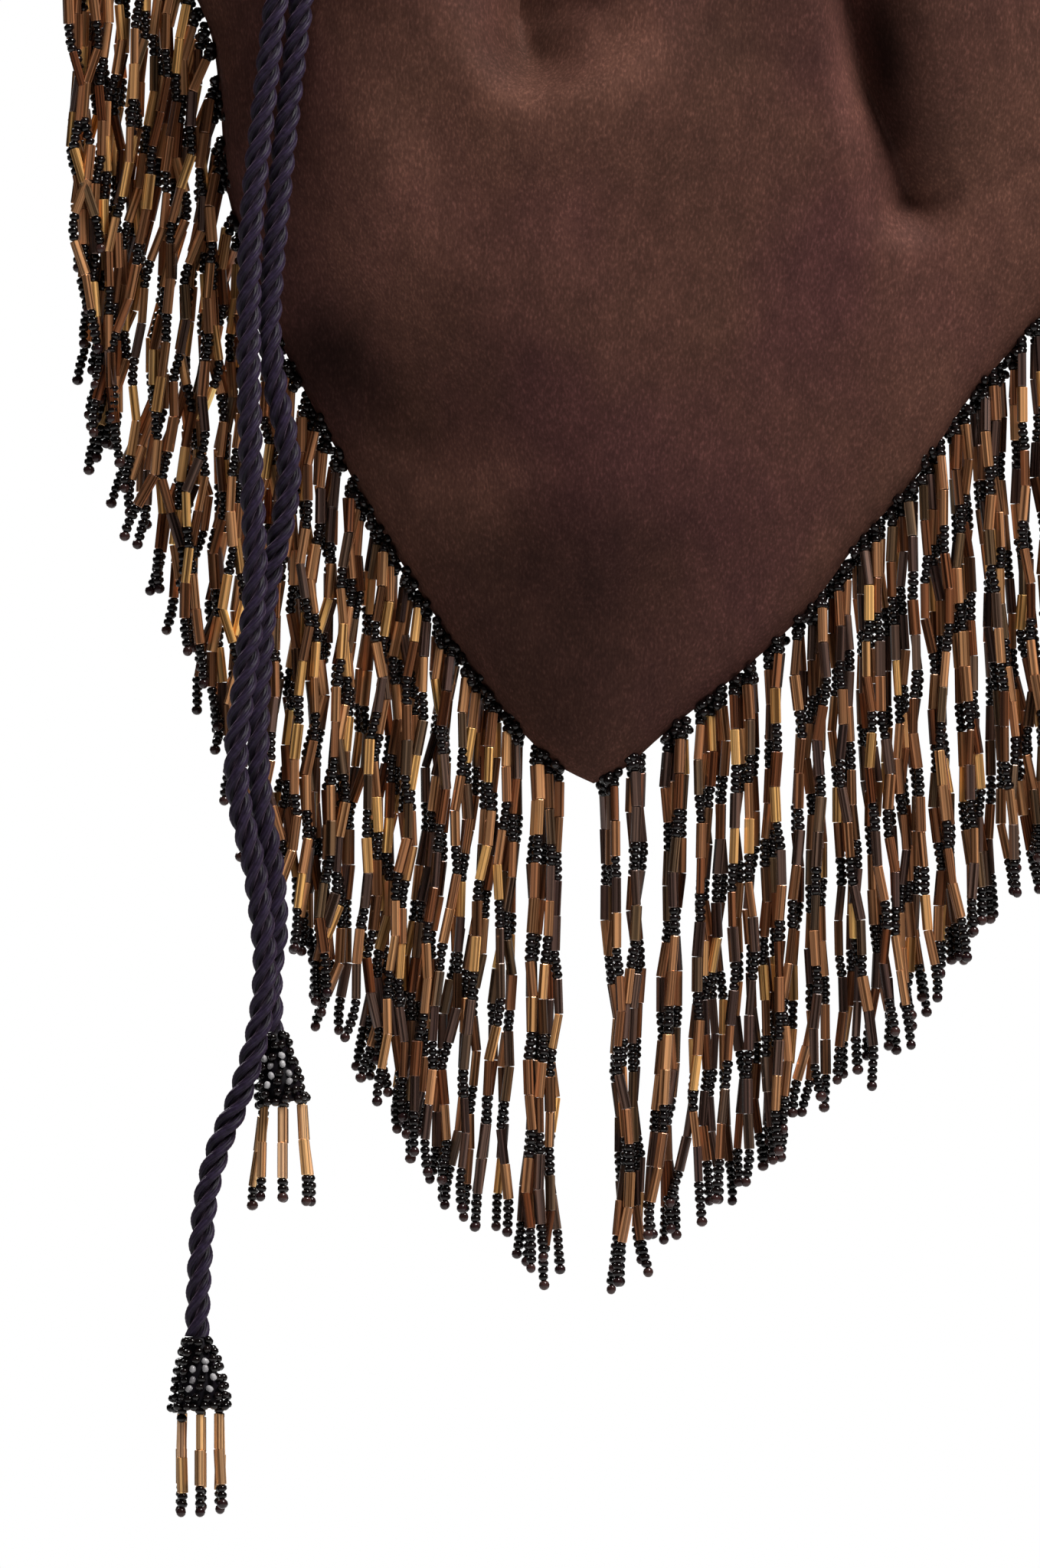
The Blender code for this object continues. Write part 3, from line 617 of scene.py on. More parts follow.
VELVET_CLOTH = velvet_material()
SATIN = satin_material()
ROPE = rope_material()
BUGLE_GLASS = bugle_material()
BLACK_GLASS = glossy_material("black_seed", (0.0035, 0.0025, 0.0025), (0.008, 0.005, 0.005), 0.05)
END_GLASS = glossy_material("plum_end_bead", (0.020, 0.008, 0.009), (0.050, 0.022, 0.020), 0.12)
# Pale grey seeds on the tassel caps, as painted glints
GLINT_GLASS = glossy_material("painted_glint_seed", (0.20, 0.19, 0.20), (0.48, 0.47, 0.48), 0.12)
DARK_THREAD = thread_material()


# Curves and meshes
def placed(point):
    """A place counted from the hem's point, in the model's own frame."""
    return np.array([point[0] - NECK_OFFSET, point[1] - TIP_DROP])


def smooth_line(points, per_span=12):
    """A Catmull-Rom curve through the points, as a fine polyline."""
    p = np.array(points, float)
    p = np.vstack([2 * p[0] - p[1], p, 2 * p[-1] - p[-2]])
    fine = []
    for i in range(1, len(p) - 2):
        for t in np.arange(per_span) / per_span:
            fine.append(
                0.5
                * (
                    2 * p[i]
                    + (p[i + 1] - p[i - 1]) * t
                    + (2 * p[i - 1] - 5 * p[i] + 4 * p[i + 1] - p[i + 2]) * t**2
                    + (3 * p[i] - p[i - 1] - 3 * p[i + 1] + p[i + 2]) * t**3
                )
            )
    fine.append(p[-2])
    return np.array(fine)


def lengths_of(line):
    return np.concatenate([[0], np.cumsum(np.linalg.norm(np.diff(line, axis=0), axis=1))])


def spaced(line, count):
    """The line again, as count equal stretches."""
    along = lengths_of(line)
    at = np.linspace(0, along[-1], count + 1)
    return np.stack([np.interp(at, along, line[:, k]) for k in range(line.shape[1])], axis=1)


def hem_line(side_columns):
    """The hem as a polyline, with as many stretches on each side of the point."""
    left = spaced(smooth_line([placed(p) for p in LEFT_HEM]), side_columns)
    right = spaced(smooth_line([placed(p) for p in RIGHT_HEM]), side_columns)
    return np.vstack([left, right[1:]])


def outward_normals(line):
    edges = np.diff(line, axis=0)
    edges /= np.linalg.norm(edges, axis=1)[:, None]
    sides = np.stack([edges[:, 1], -edges[:, 0]], axis=1)
    corner = np.vstack([sides[:1], sides[:-1] + sides[1:], sides[-1:]])
    return corner / np.linalg.norm(corner, axis=1)[:, None]


def neck_ring(share, outward):
    """Points of the neck's oval seen from above, share 0 at the left end and 1 at the right, in front."""
    angle = math.pi * (1 - np.asarray(share, float))
    normal = np.stack([NECK_HALF_DEPTH * np.cos(angle), -NECK_HALF_WIDTH * np.sin(angle)], axis=-1)
    normal /= np.linalg.norm(normal, axis=-1)[..., None]
    oval = np.stack([NECK_HALF_WIDTH * np.cos(angle), -NECK_HALF_DEPTH * np.sin(angle)], axis=-1)
    return oval + np.asarray(outward)[..., None] * normal


def painted_light_of(x, z):
    """How much painted light or shade lightens or darkens the front at each of the points."""
    total = np.zeros_like(x)
    for across, height, wide, tall, strength in PAINTED_LIGHT_PATCHES:
        middle = placed((across, height))
        total += strength * np.exp(-(((x - middle[0]) / wide) ** 2) - ((z - middle[1]) / tall) ** 2)
    return total


def smooth_step(t):
    t = np.clip(t, 0, 1)
    return t * t * (3 - 2 * t)


def link_mesh(name, points, faces, materials):
    mesh = bpy.data.meshes.new(name)
    mesh.from_pydata([tuple(map(float, p)) for p in points], [], faces)
    for material in materials:
        mesh.materials.append(material)
    mesh.update()
    item = bpy.data.objects.new(name, mesh)
    bpy.context.collection.objects.link(item)
    return item


def grown(name, source, tree, sizes):
    """The plain mesh that a geometry tree makes of a source object, which it takes the place of."""
    modifier = source.modifiers.new("growth", "NODES")
    modifier.node_group = tree
    for socket in tree.interface.items_tree:
        if socket.name in sizes:
            modifier[socket.identifier] = sizes[socket.name]
    graph = bpy.context.evaluated_depsgraph_get()
    mesh = bpy.data.meshes.new_from_object(source.evaluated_get(graph))
    bpy.data.objects.remove(source)
    mesh.name = name
    item = bpy.data.objects.new(name, mesh)
    bpy.context.collection.objects.link(item)
    return item


def seat(piece, slot, *nodes):
    """The piece rides on the bag and stands for the nodes; its slot is not used."""
    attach(piece, BODY)
    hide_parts(*nodes)


# Geometry trees
def new_tree(name, sizes):
    tree = bpy.data.node_groups.new(name, "GeometryNodeTree")
    tree.interface.new_socket("Geometry", in_out="INPUT", socket_type="NodeSocketGeometry")
    tree.interface.new_socket("Geometry", in_out="OUTPUT", socket_type="NodeSocketGeometry")
    for size in sizes:
        tree.interface.new_socket(size, in_out="INPUT", socket_type="NodeSocketFloat")
    return tree, tree.nodes.new("NodeGroupInput").outputs


def close_tree(tree, shapes, materials):
    """Realizes each shape, gives it its material, and joins them as the tree's result."""
    join = tree.nodes.new("GeometryNodeJoinGeometry")
    for shape, material in zip(shapes, materials, strict=True):
        real = result_of(tree, "GeometryNodeRealizeInstances", {"Geometry": shape})
        dressed = result_of(tree, "GeometryNodeSetMaterial", {"Geometry": real, "Material": material})
        tree.links.new(dressed, join.inputs[0])
    leave = tree.nodes.new("NodeGroupOutput")
    tree.links.new(join.outputs[0], leave.inputs[0])


def stored(tree, shape, name, value, kind="FLOAT"):
    """The shape with a value kept at each of its points under a name."""
    inputs = {"Geometry": shape, "Name": name, "Value": value}
    return result_of(tree, "GeometryNodeStoreNamedAttribute", inputs, data_type=kind, domain="POINT")


def named(tree, kind, name):
    """The value that each point keeps under a name."""
    return result_of(tree, "GeometryNodeInputNamedAttribute", {"Name": name}, data_type=kind)


def instances_of(tree, inputs):
    return result_of(tree, "GeometryNodeInstanceOnPoints", inputs)


def place_in(tree):
    return result_of(tree, "GeometryNodeInputPosition")


def smoothed(tree, shape):
    return result_of(tree, "GeometryNodeSetShadeSmooth", {"Geometry": shape})


def barrel_of(tree, sides, width, length, shoulder, end_share):
    """A tube that keeps its width between its shoulders and narrows to a share of it at both ends."""
    sizes = {"Vertices": sides, "Side Segments": 3, "Radius": product(tree, width, 0.5), "Depth": length}
    tube = add_node(tree, "GeometryNodeMeshCylinder", sizes).outputs["Mesh"]
    parts = parts_of(tree, place_in(tree))
    limits = {0: maths(tree, "ABSOLUTE", parts["Z"]), 1: product(tree, length, 0.3)}
    inner = result_of(tree, "FunctionNodeCompare", limits, data_type="FLOAT", operation="LESS_THAN")
    lifted = product(tree, maths(tree, "SIGN", parts["Z"]), shoulder)
    inner_place = vector_of(tree, parts["X"], parts["Y"], lifted)
    end_x = product(tree, parts["X"], end_share)
    end_y = product(tree, parts["Y"], end_share)
    choice = {"Switch": inner, "False": vector_of(tree, end_x, end_y, parts["Z"]), "True": inner_place}
    chosen = result_of(tree, "GeometryNodeSwitch", choice, input_type="VECTOR")
    return result_of(tree, "GeometryNodeSetPosition", {"Geometry": tube, "Position": chosen})


def seed_bead(tree, width, height):
    """A seed bead: a short barrel, flat where it meets the next."""
    shoulder = product(tree, height, SEED_SHOULDER)
    return smoothed(tree, barrel_of(tree, SEED_SIDES, width, height, shoulder, SEED_MOUTH))


def end_bead(tree, width):
    sizes = {"Segments": 9, "Rings": 6, "Radius": product(tree, width, 0.5)}
    return smoothed(tree, result_of(tree, "GeometryNodeMeshUVSphere", sizes))


def cut_bugle(tree, width, length, corner):
    """A six-sided tube bead whose end corners are cut back."""
    shoulder = maths(tree, "SUBTRACT", product(tree, length, 0.5), corner)
    shape = barrel_of(tree, BUGLE_SIDES, width, length, shoulder, BUGLE_MOUTH)
    parts = parts_of(tree, place_in(tree))
    across = maths(tree, "DIVIDE", parts["X"], width)
    ahead = maths(tree, "DIVIDE", parts["Y"], width)
    # round: where a point lies across the bead, which places the painted highlight bands
    return stored(tree, shape, "round", vector_of(tree, across, ahead, 0.0), "FLOAT_VECTOR")


def bead_tree():
    """Beads on the points of threads: each point says which bead, its heading, spin, girth and tone."""
    tree, given = new_tree("threaded_beads", list(BEAD_SIZES))
    kind = named(tree, "INT", "bead")
    heading = {"Vector": named(tree, "FLOAT_VECTOR", "heading")}
    facing = result_of(tree, "FunctionNodeAlignRotationToVector", heading, axis="Z")
    spin = vector_of(tree, 0.0, 0.0, named(tree, "FLOAT", "spin"))
    own_turn = result_of(tree, "FunctionNodeEulerToRotation", {0: spin})
    both_turns = {"Rotation": facing, "Rotate By": own_turn}
    turned = result_of(tree, "FunctionNodeRotateRotation", both_turns, rotation_space="LOCAL")
    girth = named(tree, "FLOAT", "girth")
    scale = vector_of(tree, girth, girth, 1.0)
    seed = seed_bead(tree, given["Seed Width"], given["Seed Height"])
    end = end_bead(tree, given["End Bead"])
    bugle = cut_bugle(tree, given["Bugle Width"], given["Bugle Length"], given["Cut Corner"])
    shapes = []
    for number, bead in ((SEED, seed), (BUGLE, bugle), (END, end), (GLINT_SEED, seed)):
        is_kind = {2: kind, 3: number}
        chosen = result_of(tree, "FunctionNodeCompare", is_kind, data_type="INT", operation="EQUAL")
        spots = {"Points": given["Geometry"], "Selection": chosen, "Instance": bead}
        shapes.append(instances_of(tree, {**spots, "Rotation": turned, "Scale": scale}))
    line = result_of(tree, "GeometryNodeMeshToCurve", {0: given["Geometry"]})
    circle = {"Resolution": 3, "Radius": product(tree, given["Thread"], 0.5)}
    profile = result_of(tree, "GeometryNodeCurvePrimitiveCircle", circle)
    shapes.append(result_of(tree, "GeometryNodeCurveToMesh", {"Curve": line, "Profile Curve": profile}))
    close_tree(tree, shapes, [BLACK_GLASS, BUGLE_GLASS, END_GLASS, GLINT_GLASS, DARK_THREAD])
    return tree


def rope_tree():
    """A twisted rope of round plies along a curve."""
    tree, given = new_tree("twisted_rope", list(ROPE_SIZES))
    stretch = {"Curve": given["Geometry"], "Length": given["Step"]}
    line = result_of(tree, "GeometryNodeResampleCurve", stretch, mode="LENGTH")
    length = add_node(tree, "GeometryNodeSplineParameter").outputs["Length"]
    tilt = product(tree, maths(tree, "DIVIDE", length, given["Turn Length"]), math.tau)
    tilted = result_of(tree, "GeometryNodeSetCurveTilt", {"Curve": line, "Tilt": tilt})
    marked = stored(tree, tilted, "along", length)
    circle = {"Resolution": PLY_SIDES, "Radius": given["Ply Radius"]}
    ply = result_of(tree, "GeometryNodeCurvePrimitiveCircle", circle)
    factor = add_node(tree, "GeometryNodeSplineParameter").outputs["Factor"]
    ply = stored(tree, ply, "around", factor)
    ring = {"Vertices": PLIES, "Radius": given["Ply Offset"]}
    centres = result_of(tree, "GeometryNodeMeshCircle", ring)
    bundle = instances_of(tree, {"Points": centres, "Instance": ply})
    profile = result_of(tree, "GeometryNodeRealizeInstances", {"Geometry": bundle})
    # How far out from the rope's middle a point lies, which sets the painted groove shade
    reach = add_node(tree, "ShaderNodeVectorMath", {0: place_in(tree)}, operation="LENGTH")
    widest = maths(tree, "ADD", given["Ply Radius"], given["Ply Offset"])
    outward = maths(tree, "DIVIDE", reach.outputs["Value"], widest)
    profile = stored(tree, profile, "outward", outward)
    sweep = {"Curve": marked, "Profile Curve": profile, "Fill Caps": True}
    close_tree(tree, [result_of(tree, "GeometryNodeCurveToMesh", sweep)], [ROPE])
    return tree


BEAD_SIZES = {
    "Seed Width": SEED_WIDTH,
    "Seed Height": SEED_HEIGHT,
    "Bugle Width": BUGLE_WIDTH,
    "Bugle Length": BUGLE_LENGTH - BUGLE_GAP,
    "Cut Corner": CUT_CORNER,
    "End Bead": END_BEAD,
    "Thread": THREAD,
}
PLY_RADIUS = CORD / 2 / (1 + 2 / math.sqrt(3))
ROPE_SIZES = {
    "Ply Radius": PLY_RADIUS * PLY_OVERLAP,
    "Ply Offset": PLY_RADIUS * 2 / math.sqrt(3),
    "Turn Length": ROPE_PITCH,
    "Step": ROPE_STEP,
}
BEADS = bead_tree()
TWIST = rope_tree()


# Camera
def photo_camera():
    data = bpy.data.cameras.new("photo_camera")
    data.sensor_width = SENSOR
    height = PHOTO_HEIGHT / PIXELS_A_METRE
    data.lens = SENSOR * CAMERA_DISTANCE / height
    across = (PHOTO_WIDTH / 2 - POINT_PIXEL[0]) / PIXELS_A_METRE - NECK_OFFSET
    up = (POINT_PIXEL[1] - PHOTO_HEIGHT / 2) / PIXELS_A_METRE - TIP_DROP
    camera = bpy.data.objects.new("photo_camera", data)
    camera.location = (across, -CAMERA_DISTANCE, up)
    camera.rotation_euler = (math.pi / 2, 0, 0)
    bpy.context.collection.objects.link(camera)
    bpy.context.scene.camera = camera


photo_camera()


# Cords
def rope(name, route):
    """A rope along the route, and the points that its middle follows."""
    line = smooth_line(route)
    curve = bpy.data.curves.new(name, "CURVE")
    curve.dimensions = "3D"
    spline = curve.splines.new("POLY")
    spline.points.add(len(line) - 1)
    for point, spot in zip(spline.points, line, strict=True):
        point.co = (*map(float, spot), 1)
    source = bpy.data.objects.new(name, curve)
    bpy.context.collection.objects.link(source)
    piece = grown(name, source, TWIST, ROPE_SIZES)
    piece.data.shade_smooth()
    return piece, spaced(line, round(lengths_of(line)[-1] / ROPE_STEP))


def hang_cord(name, node, route):
    piece, path = rope(name, route)
    seat(piece, "cord", node)


# Beads on threads
def threads(name, chains):
    """A piece of beads from chains of (kind, place, heading, spin, tone, girth), one chain to a thread."""
    beads = [bead for chain in chains for bead in chain]
    mesh = bpy.data.meshes.new(name)
    edges, first = [], 0
    for chain in chains:
        edges += [(i, i + 1) for i in range(first, first + len(chain) - 1)]
        first += len(chain)
    mesh.from_pydata([tuple(map(float, bead[1])) for bead in beads], edges, [])
    fields = (("bead", "INT", 0), ("spin", "FLOAT", 3), ("tone", "FLOAT", 4), ("girth", "FLOAT", 5))
    for field, kind, column in fields:
        layer = mesh.attributes.new(field, kind, "POINT")
        layer.data.foreach_set("value", [bead[column] for bead in beads])
    heading = mesh.attributes.new("heading", "FLOAT_VECTOR", "POINT")
    heading.data.foreach_set("vector", [float(x) for bead in beads for x in bead[2]])
    source = bpy.data.objects.new(name, mesh)
    bpy.context.collection.objects.link(source)
    return grown(name, source, BEADS, BEAD_SIZES)


def strand_pattern(rng):
    """Top seeds, five times two bugles and a group of seeds, and the end bead."""
    pattern = [SEED] * TOP_SEEDS
    for _ in range(BUGLE_PAIRS - 1):
        pattern += [BUGLE] * 2 + [SEED] * rng.choice(BETWEEN_SEEDS)
    return pattern + [BUGLE] * 2 + [SEED] * rng.choice(LAST_SEEDS) + [END]


def tone_of(rng, kind, golden):
    """A bead's place on its colour ramp; golden, from 0 to 1, draws the bugles to the ramp's bright end."""
    if kind != BUGLE:
        return rng.random()
    if golden == 1:
        return rng.uniform(*GOLDEN_TONES)
    pick = rng.random() ** (1 - golden)
    low, high = next(tones for share, *tones in BUGLE_TONES if pick <= share)
    return rng.uniform(low, high)


def girth_of(rng, kind):
    """How wide a bead is, as a share of its kind's usual width."""
    return rng.uniform(*(BUGLE_GIRTHS if kind == BUGLE else SEED_GIRTHS))


def chain(rng, pattern, route, golden=0.0):
    """Beads threaded one under another: route gives the place of the thread at a length from its top."""
    beads, length = [], 0.0
    here = route(0.0)
    for kind in pattern:
        step = BEAD_LENGTH[kind]
        ahead = route(length + step)
        heading = ahead - here
        heading = heading / np.linalg.norm(heading)
        after = here + heading * step
        spin = rng.uniform(0, math.tau)
        tilt = 0 if kind == BUGLE else SEED_TILT
        leaning = heading + [rng.uniform(-tilt, tilt), rng.uniform(-tilt, tilt), 0]
        tone = tone_of(rng, kind, golden)
        beads.append((kind, (here + after) / 2, leaning, spin, tone, girth_of(rng, kind)))
        here = after
        length += step
    return beads


def wander(rng, size, lengths):
    """A smooth sway that grows from nothing at the top of a thread."""
    waves = []
    for stretch in lengths:
        high = rng.uniform(*SWAY_HEIGHTS) * size
        wide = stretch * rng.uniform(*SWAY_STRETCHES)
        waves.append((high, wide, rng.uniform(0, math.tau)))

    def sway(length):
        grow = smooth_step(length / SWAY_ONSET)
        return grow * sum(high * math.sin(math.tau * length / wide + turn) for high, wide, turn in waves)

    return sway


# Fringe
def fringe_frame():
    """Where the fringe starts and ends along the hem, and what gives a place there and its normal."""
    hem = hem_line(HEM_COLUMNS)
    normals = outward_normals(hem)
    along = lengths_of(hem)
    start = along[int(np.argmin(hem[:, 0]))]
    end = along[int(np.argmax(hem[:, 0]))]

    def at(length):
        point = np.array([np.interp(length, along, hem[:, k]) for k in (0, 1)])
        normal = np.array([np.interp(length, along, normals[:, k]) for k in (0, 1)])
        return point, normal / np.linalg.norm(normal)

    return start, end, at


def steepness(normal):
    """0 on the parts of the hem that face down, and 1 on the steep ones, from its outward normal."""
    return smooth_step((abs(normal[0]) - STEEP_START) / STEEP_SPAN)


def strand_lines(rng, places, groups, at):
    """Where the strands are sewn on and the upright line each hangs on, bunched by groups."""
    tops, lines = [], []
    for group in sorted(set(groups)):
        members = [place for place, own in zip(places, groups, strict=True) if own == group]
        middle = sum(members) / len(members)
        squeeze = rng.uniform(*GROUP_SQUEEZE)
        tops += [middle + (place - middle) * squeeze for place in members]
    for place in tops:
        point, normal = at(place)
        lines.append(point[0] + normal[0] * (SEWN_OUT + STEEP_OUT * steepness(normal)))
    middle = int(np.argmin([at(place)[0][1] for place in tops]))
    for k in range(middle - 1, -1, -1):
        lines[k] = min(lines[k], lines[k + 1] - CLOSEST)
    for k in range(middle + 1, len(lines)):
        lines[k] = max(lines[k], lines[k - 1] + CLOSEST)
    return tops, lines


def strand_groups(rng, count):
    """Neighbouring strands that lean together: for each strand its group."""
    groups, group = [], 0
    while len(groups) < count:
        groups += [group] * rng.choice(GROUP_SIZES)
        group += 1
    return groups[:count]


def end_of(rng, line, height):
    """Where a strand ends, sideways: on the line of ends, at the height that its length takes it to."""
    ends = LEFT_ENDS if line < -NECK_OFFSET else RIGHT_ENDS
    low = height + TIP_DROP - STRAND_LENGTH * rng.uniform(*STRAND_STRETCH)
    return float(np.interp(low, [end[1] for end in ends], [end[0] for end in ends])) - NECK_OFFSET


def strand_route(rng, top, normal, line, layer, pull):
    """The way one strand hangs: out to its end, drawn to its group and swaying more the steeper its hem."""
    steep = steepness(normal)
    sway = wander(rng, SWAY + STEEP_SWAY * steep, SWAY_LENGTHS)
    depth = wander(rng, DEPTH_SWAY, DEPTH_SWAY_LENGTHS)
    flare = rng.uniform(-END_FLARE, END_FLARE) * (1 + steep)
    middle, height, reach, wide = pull
    drift = end_of(rng, line, top[1]) - line
    turn = rng.uniform(0, math.tau)
    kink = rng.uniform(*KINK) + STEEP_KINK * steep

    def route(length):
        out = smooth_step(length / HANG_ONSET)
        x = top[0] + (line - top[0]) * out
        near = math.exp(-(((length - height) / wide) ** 2))
        x += (middle - line) * reach * near * out
        x += drift * smooth_step(length / STRAND_LENGTH / DRIFT_SPAN)
        x += sway(length) + flare * smooth_step((length - FLARE_START) / (STRAND_LENGTH - FLARE_START))
        x += kink * out * math.sin(math.tau * length / KINK_LENGTH + turn)
        y = layer * out + depth(length)
        return np.array([x, y, top[1] - length])

    return route


def edging_beads(rng, top):
    """Black seeds sewn round the top of a strand."""
    beads = []
    for _ in range(rng.choice(EDGING_SEEDS)):
        beside = rng.uniform(-EDGING_BESIDE, EDGING_BESIDE)
        ahead = rng.choice((-1, 1)) * rng.uniform(*EDGING_AHEAD)
        place = (top[0] + beside, ahead, top[1] - rng.uniform(*EDGING_BELOW))
        heading = np.array([rng.uniform(-1, 1) for _ in range(3)])
        beads.append([(SEED, place, heading, 0.0, rng.random(), 1.0)])
    return beads


def is_sewn(k, point, normal):
    """No strands in the gaps at the hem's point, and three of five where the hem is steep."""
    beside = point[0] + NECK_OFFSET
    in_gap = any(low < beside < high for low, high in TIP_GAPS)
    return not in_gap and (k % 5 not in (1, 3) or abs(normal[0]) < STEEP_HEM)


def fringe():
    rng = random.Random(RANDOM_SEED)
    start, end, at = fringe_frame()
    span = (end - start) / SECTIONS
    pitch = span / SECTION_STRANDS
    places = [start + pitch * (k + 0.5) for k in range(SECTIONS * SECTION_STRANDS)]
    places = [place for k, place in enumerate(places) if is_sewn(k, *at(place))]
    count = len(places)
    groups = strand_groups(rng, count)
    tops, lines = strand_lines(rng, places, groups, at)
    pulls = {}
    for group in sorted(set(groups)):
        members = [lines[k] for k in range(count) if groups[k] == group]
        middle = sum(members) / len(members) + rng.uniform(-PULL_SHIFT, PULL_SHIFT)
        pulls[group] = (middle, *(rng.uniform(*limits) for limits in (PULL_HEIGHT, PULL_REACH, PULL_SPAN)))
    for section in range(SECTIONS):
        first = start + span * section
        chains = []
        for k in range(count):
            if first <= places[k] < first + span:
                point, normal = at(tops[k])
                top = point + normal * rng.uniform(0.0, SEWN_UNEVEN)
                layer = (STRAND_LAYERS[k % SECTION_STRANDS] - SECTION_STRANDS // 2) * LAYER_STEP
                route = strand_route(rng, top, normal, lines[k], layer, pulls[groups[k]])
                golden = GOLDEN_MOST * smooth_step((GOLDEN_START - lines[k]) / GOLDEN_SPAN)
                chains.append(chain(rng, strand_pattern(rng), route, golden))
                chains += edging_beads(rng, top)
        piece = threads(f"bead_fringe_{section + 1:02d}", chains)
        seat(piece, "bronze_beads", f"fringe_{section + 1:02d}")


# Cloth
def bank(shape, share):
    """What is left of a fold's lift at a share of its width from its line."""
    if shape == "soft":
        return np.exp(-share * share)
    if shape == "crisp":
        return np.maximum(0, 1 - share) ** CRISP_POWER
    return 1 - np.tanh(STEEP_RATE * share)


def fold_height(folds, x, z):
    """How far the folds lift the cloth at each of the points."""
    total = np.zeros_like(x)
    spots = np.stack([x, z], axis=-1)[..., None, :]
    for left_shape, right_shape, points in folds:
        line = smooth_line(points, SPAN_STEPS)
        way = line[:, :2] - [NECK_OFFSET, TIP_DROP]
        runs = np.diff(way, axis=0)
        offsets = spots - way[:-1]
        share = np.clip((offsets * runs).sum(-1) / (runs * runs).sum(-1), 0, 1)
        gaps = offsets - share[..., None] * runs
        distance = np.linalg.norm(gaps, axis=-1)
        nearest = distance.argmin(axis=-1)[..., None]
        place = nearest[..., 0] + np.take_along_axis(share, nearest, -1)[..., 0]
        gap = np.take_along_axis(gaps, nearest[..., None], -2)[..., 0, :]
        run = runs[nearest[..., 0]]
        right = run[..., 0] * gap[..., 1] - run[..., 1] * gap[..., 0] > 0
        knots = np.arange(len(line))
        wide_left, wide_right, lift = (np.interp(place, knots, line[:, k]) for k in (2, 3, 4))
        reach = np.hypot(distance.min(axis=-1), CREASE) - CREASE
        left_bank = bank(left_shape, reach / wide_left)
        right_bank = bank(right_shape, reach / wide_right)
        both = (left_bank + right_bank) / 2
        round_end = smooth_step(1 - (len(line) - 1 - place) / SPAN_STEPS)
        own = np.where(right, right_bank, left_bank)
        total += lift * (own + (both - own) * round_end)
    return total


def panel_depth(share, rise, belly, neck_depth):
    """How far a panel without folds stands out, at a share of its width and a rise from hem to neck."""
    side = np.maximum(0, np.sin(np.pi * share))
    swell = belly * side**SWELL_ACROSS * np.maximum(0, np.sin(np.pi * rise**SWELL_UP)) ** SWELL_UP
    return swell + neck_depth * smooth_step(rise)


def ripple(x, z, size, scale):
    """Small uneven waves of the cloth, as smooth noise."""
    flat = [noise.noise(Vector((a / scale, b / scale, scale * 100))) for a, b in zip(x.ravel(), z.ravel())]
    return size * np.array(flat).reshape(x.shape)


def shares_of(columns, dense):
    """Even shares of the way across a panel, with dense more of them around its sharp fold."""
    even = np.linspace(0, 1, columns + 1)
    extra = np.linspace(DENSE_START, DENSE_END, dense) if dense else []
    return np.unique(np.concatenate([even, extra]))


def panel_grid(side, belly, folds, shares, rows):
    """The outer surface of a velvet panel: rows from the hem up to the frill's edge, columns across."""
    fine = hem_line(FINE_HEM_COLUMNS)
    fine_normals = outward_normals(fine)
    knots = np.linspace(0, 1, len(fine))
    hem = np.stack([np.interp(shares, knots, fine[:, k]) for k in (0, 1)], axis=1)
    normals = np.stack([np.interp(shares, knots, fine_normals[:, k]) for k in (0, 1)], axis=1)
    share = shares[None, :]
    rise = np.linspace(0, 1, rows + 1)[:, None]
    band = NECK_BAND / 2
    wave = np.cos(2 * np.pi * PLEATS * share)
    fade = np.exp(-(((1 - rise) / PLEAT_FADE) ** 2))
    plain = neck_ring(share, np.zeros_like(share))
    shift = neck_ring(share + 0 * rise, PLEAT_DEPTH * wave * fade) - plain
    x = hem[None, :, 0] * (1 - rise) + plain[..., 0] * rise + shift[..., 0]
    z = hem[None, :, 1] * (1 - rise) - band * rise + 0 * share
    depth = panel_depth(share, rise, belly, -plain[..., 1])
    side_fade = np.maximum(0, np.sin(np.pi * share)) ** SIDE_FADE
    lift = fold_height(folds, x, z) + ripple(x, z, *BROAD_RIPPLE) + ripple(x, z, *FINE_RIPPLE)
    lift *= smooth_step(rise / HEM_FADE) * smooth_step((1 - rise) / FOLD_ONSET) * side_fade
    seat_depth = FIT_GAP / 2 + VELVET * (1 - rise)
    body = np.stack([x, seat_depth + depth + lift - shift[..., 1], z], axis=-1)
    rolled = hem + normals * HEM_ROLL
    roll = np.stack([rolled[:, 0], np.full(len(hem), HEM_DEPTH), rolled[:, 1]], axis=-1)[None]
    up = np.linspace(0, 1, FRILL_ROWS)[:, None]
    uneven = FRILL_MEAN + FRILL_VARIES * np.sin(2 * np.pi * FRILL_WAVES * share + 1.0 + side)
    rounded = np.tanh(FRILL_ROUNDING * wave) / math.tanh(FRILL_ROUNDING) * uneven
    soft_wave = wave * (1 - up) + rounded * up
    outward = FRILL_FLARE * up**FRILL_CURL + (PLEAT_DEPTH + (FRILL_WAVE - PLEAT_DEPTH) * up) * soft_wave
    ring = neck_ring(share + 0 * up, outward)
    edge = FRILL_HEIGHT + FRILL_EDGE_WAVE * np.sin(2 * np.pi * FRILL_EDGE_WAVES * share + side)
    edge = edge - FRILL_EDGE_DROP * (1 + wave)
    frill = np.stack([ring[..., 0], FIT_GAP / 2 - ring[..., 1], band + edge * up], axis=-1)
    grid = np.concatenate([roll, body, frill])
    grid[..., 1] *= side
    return grid


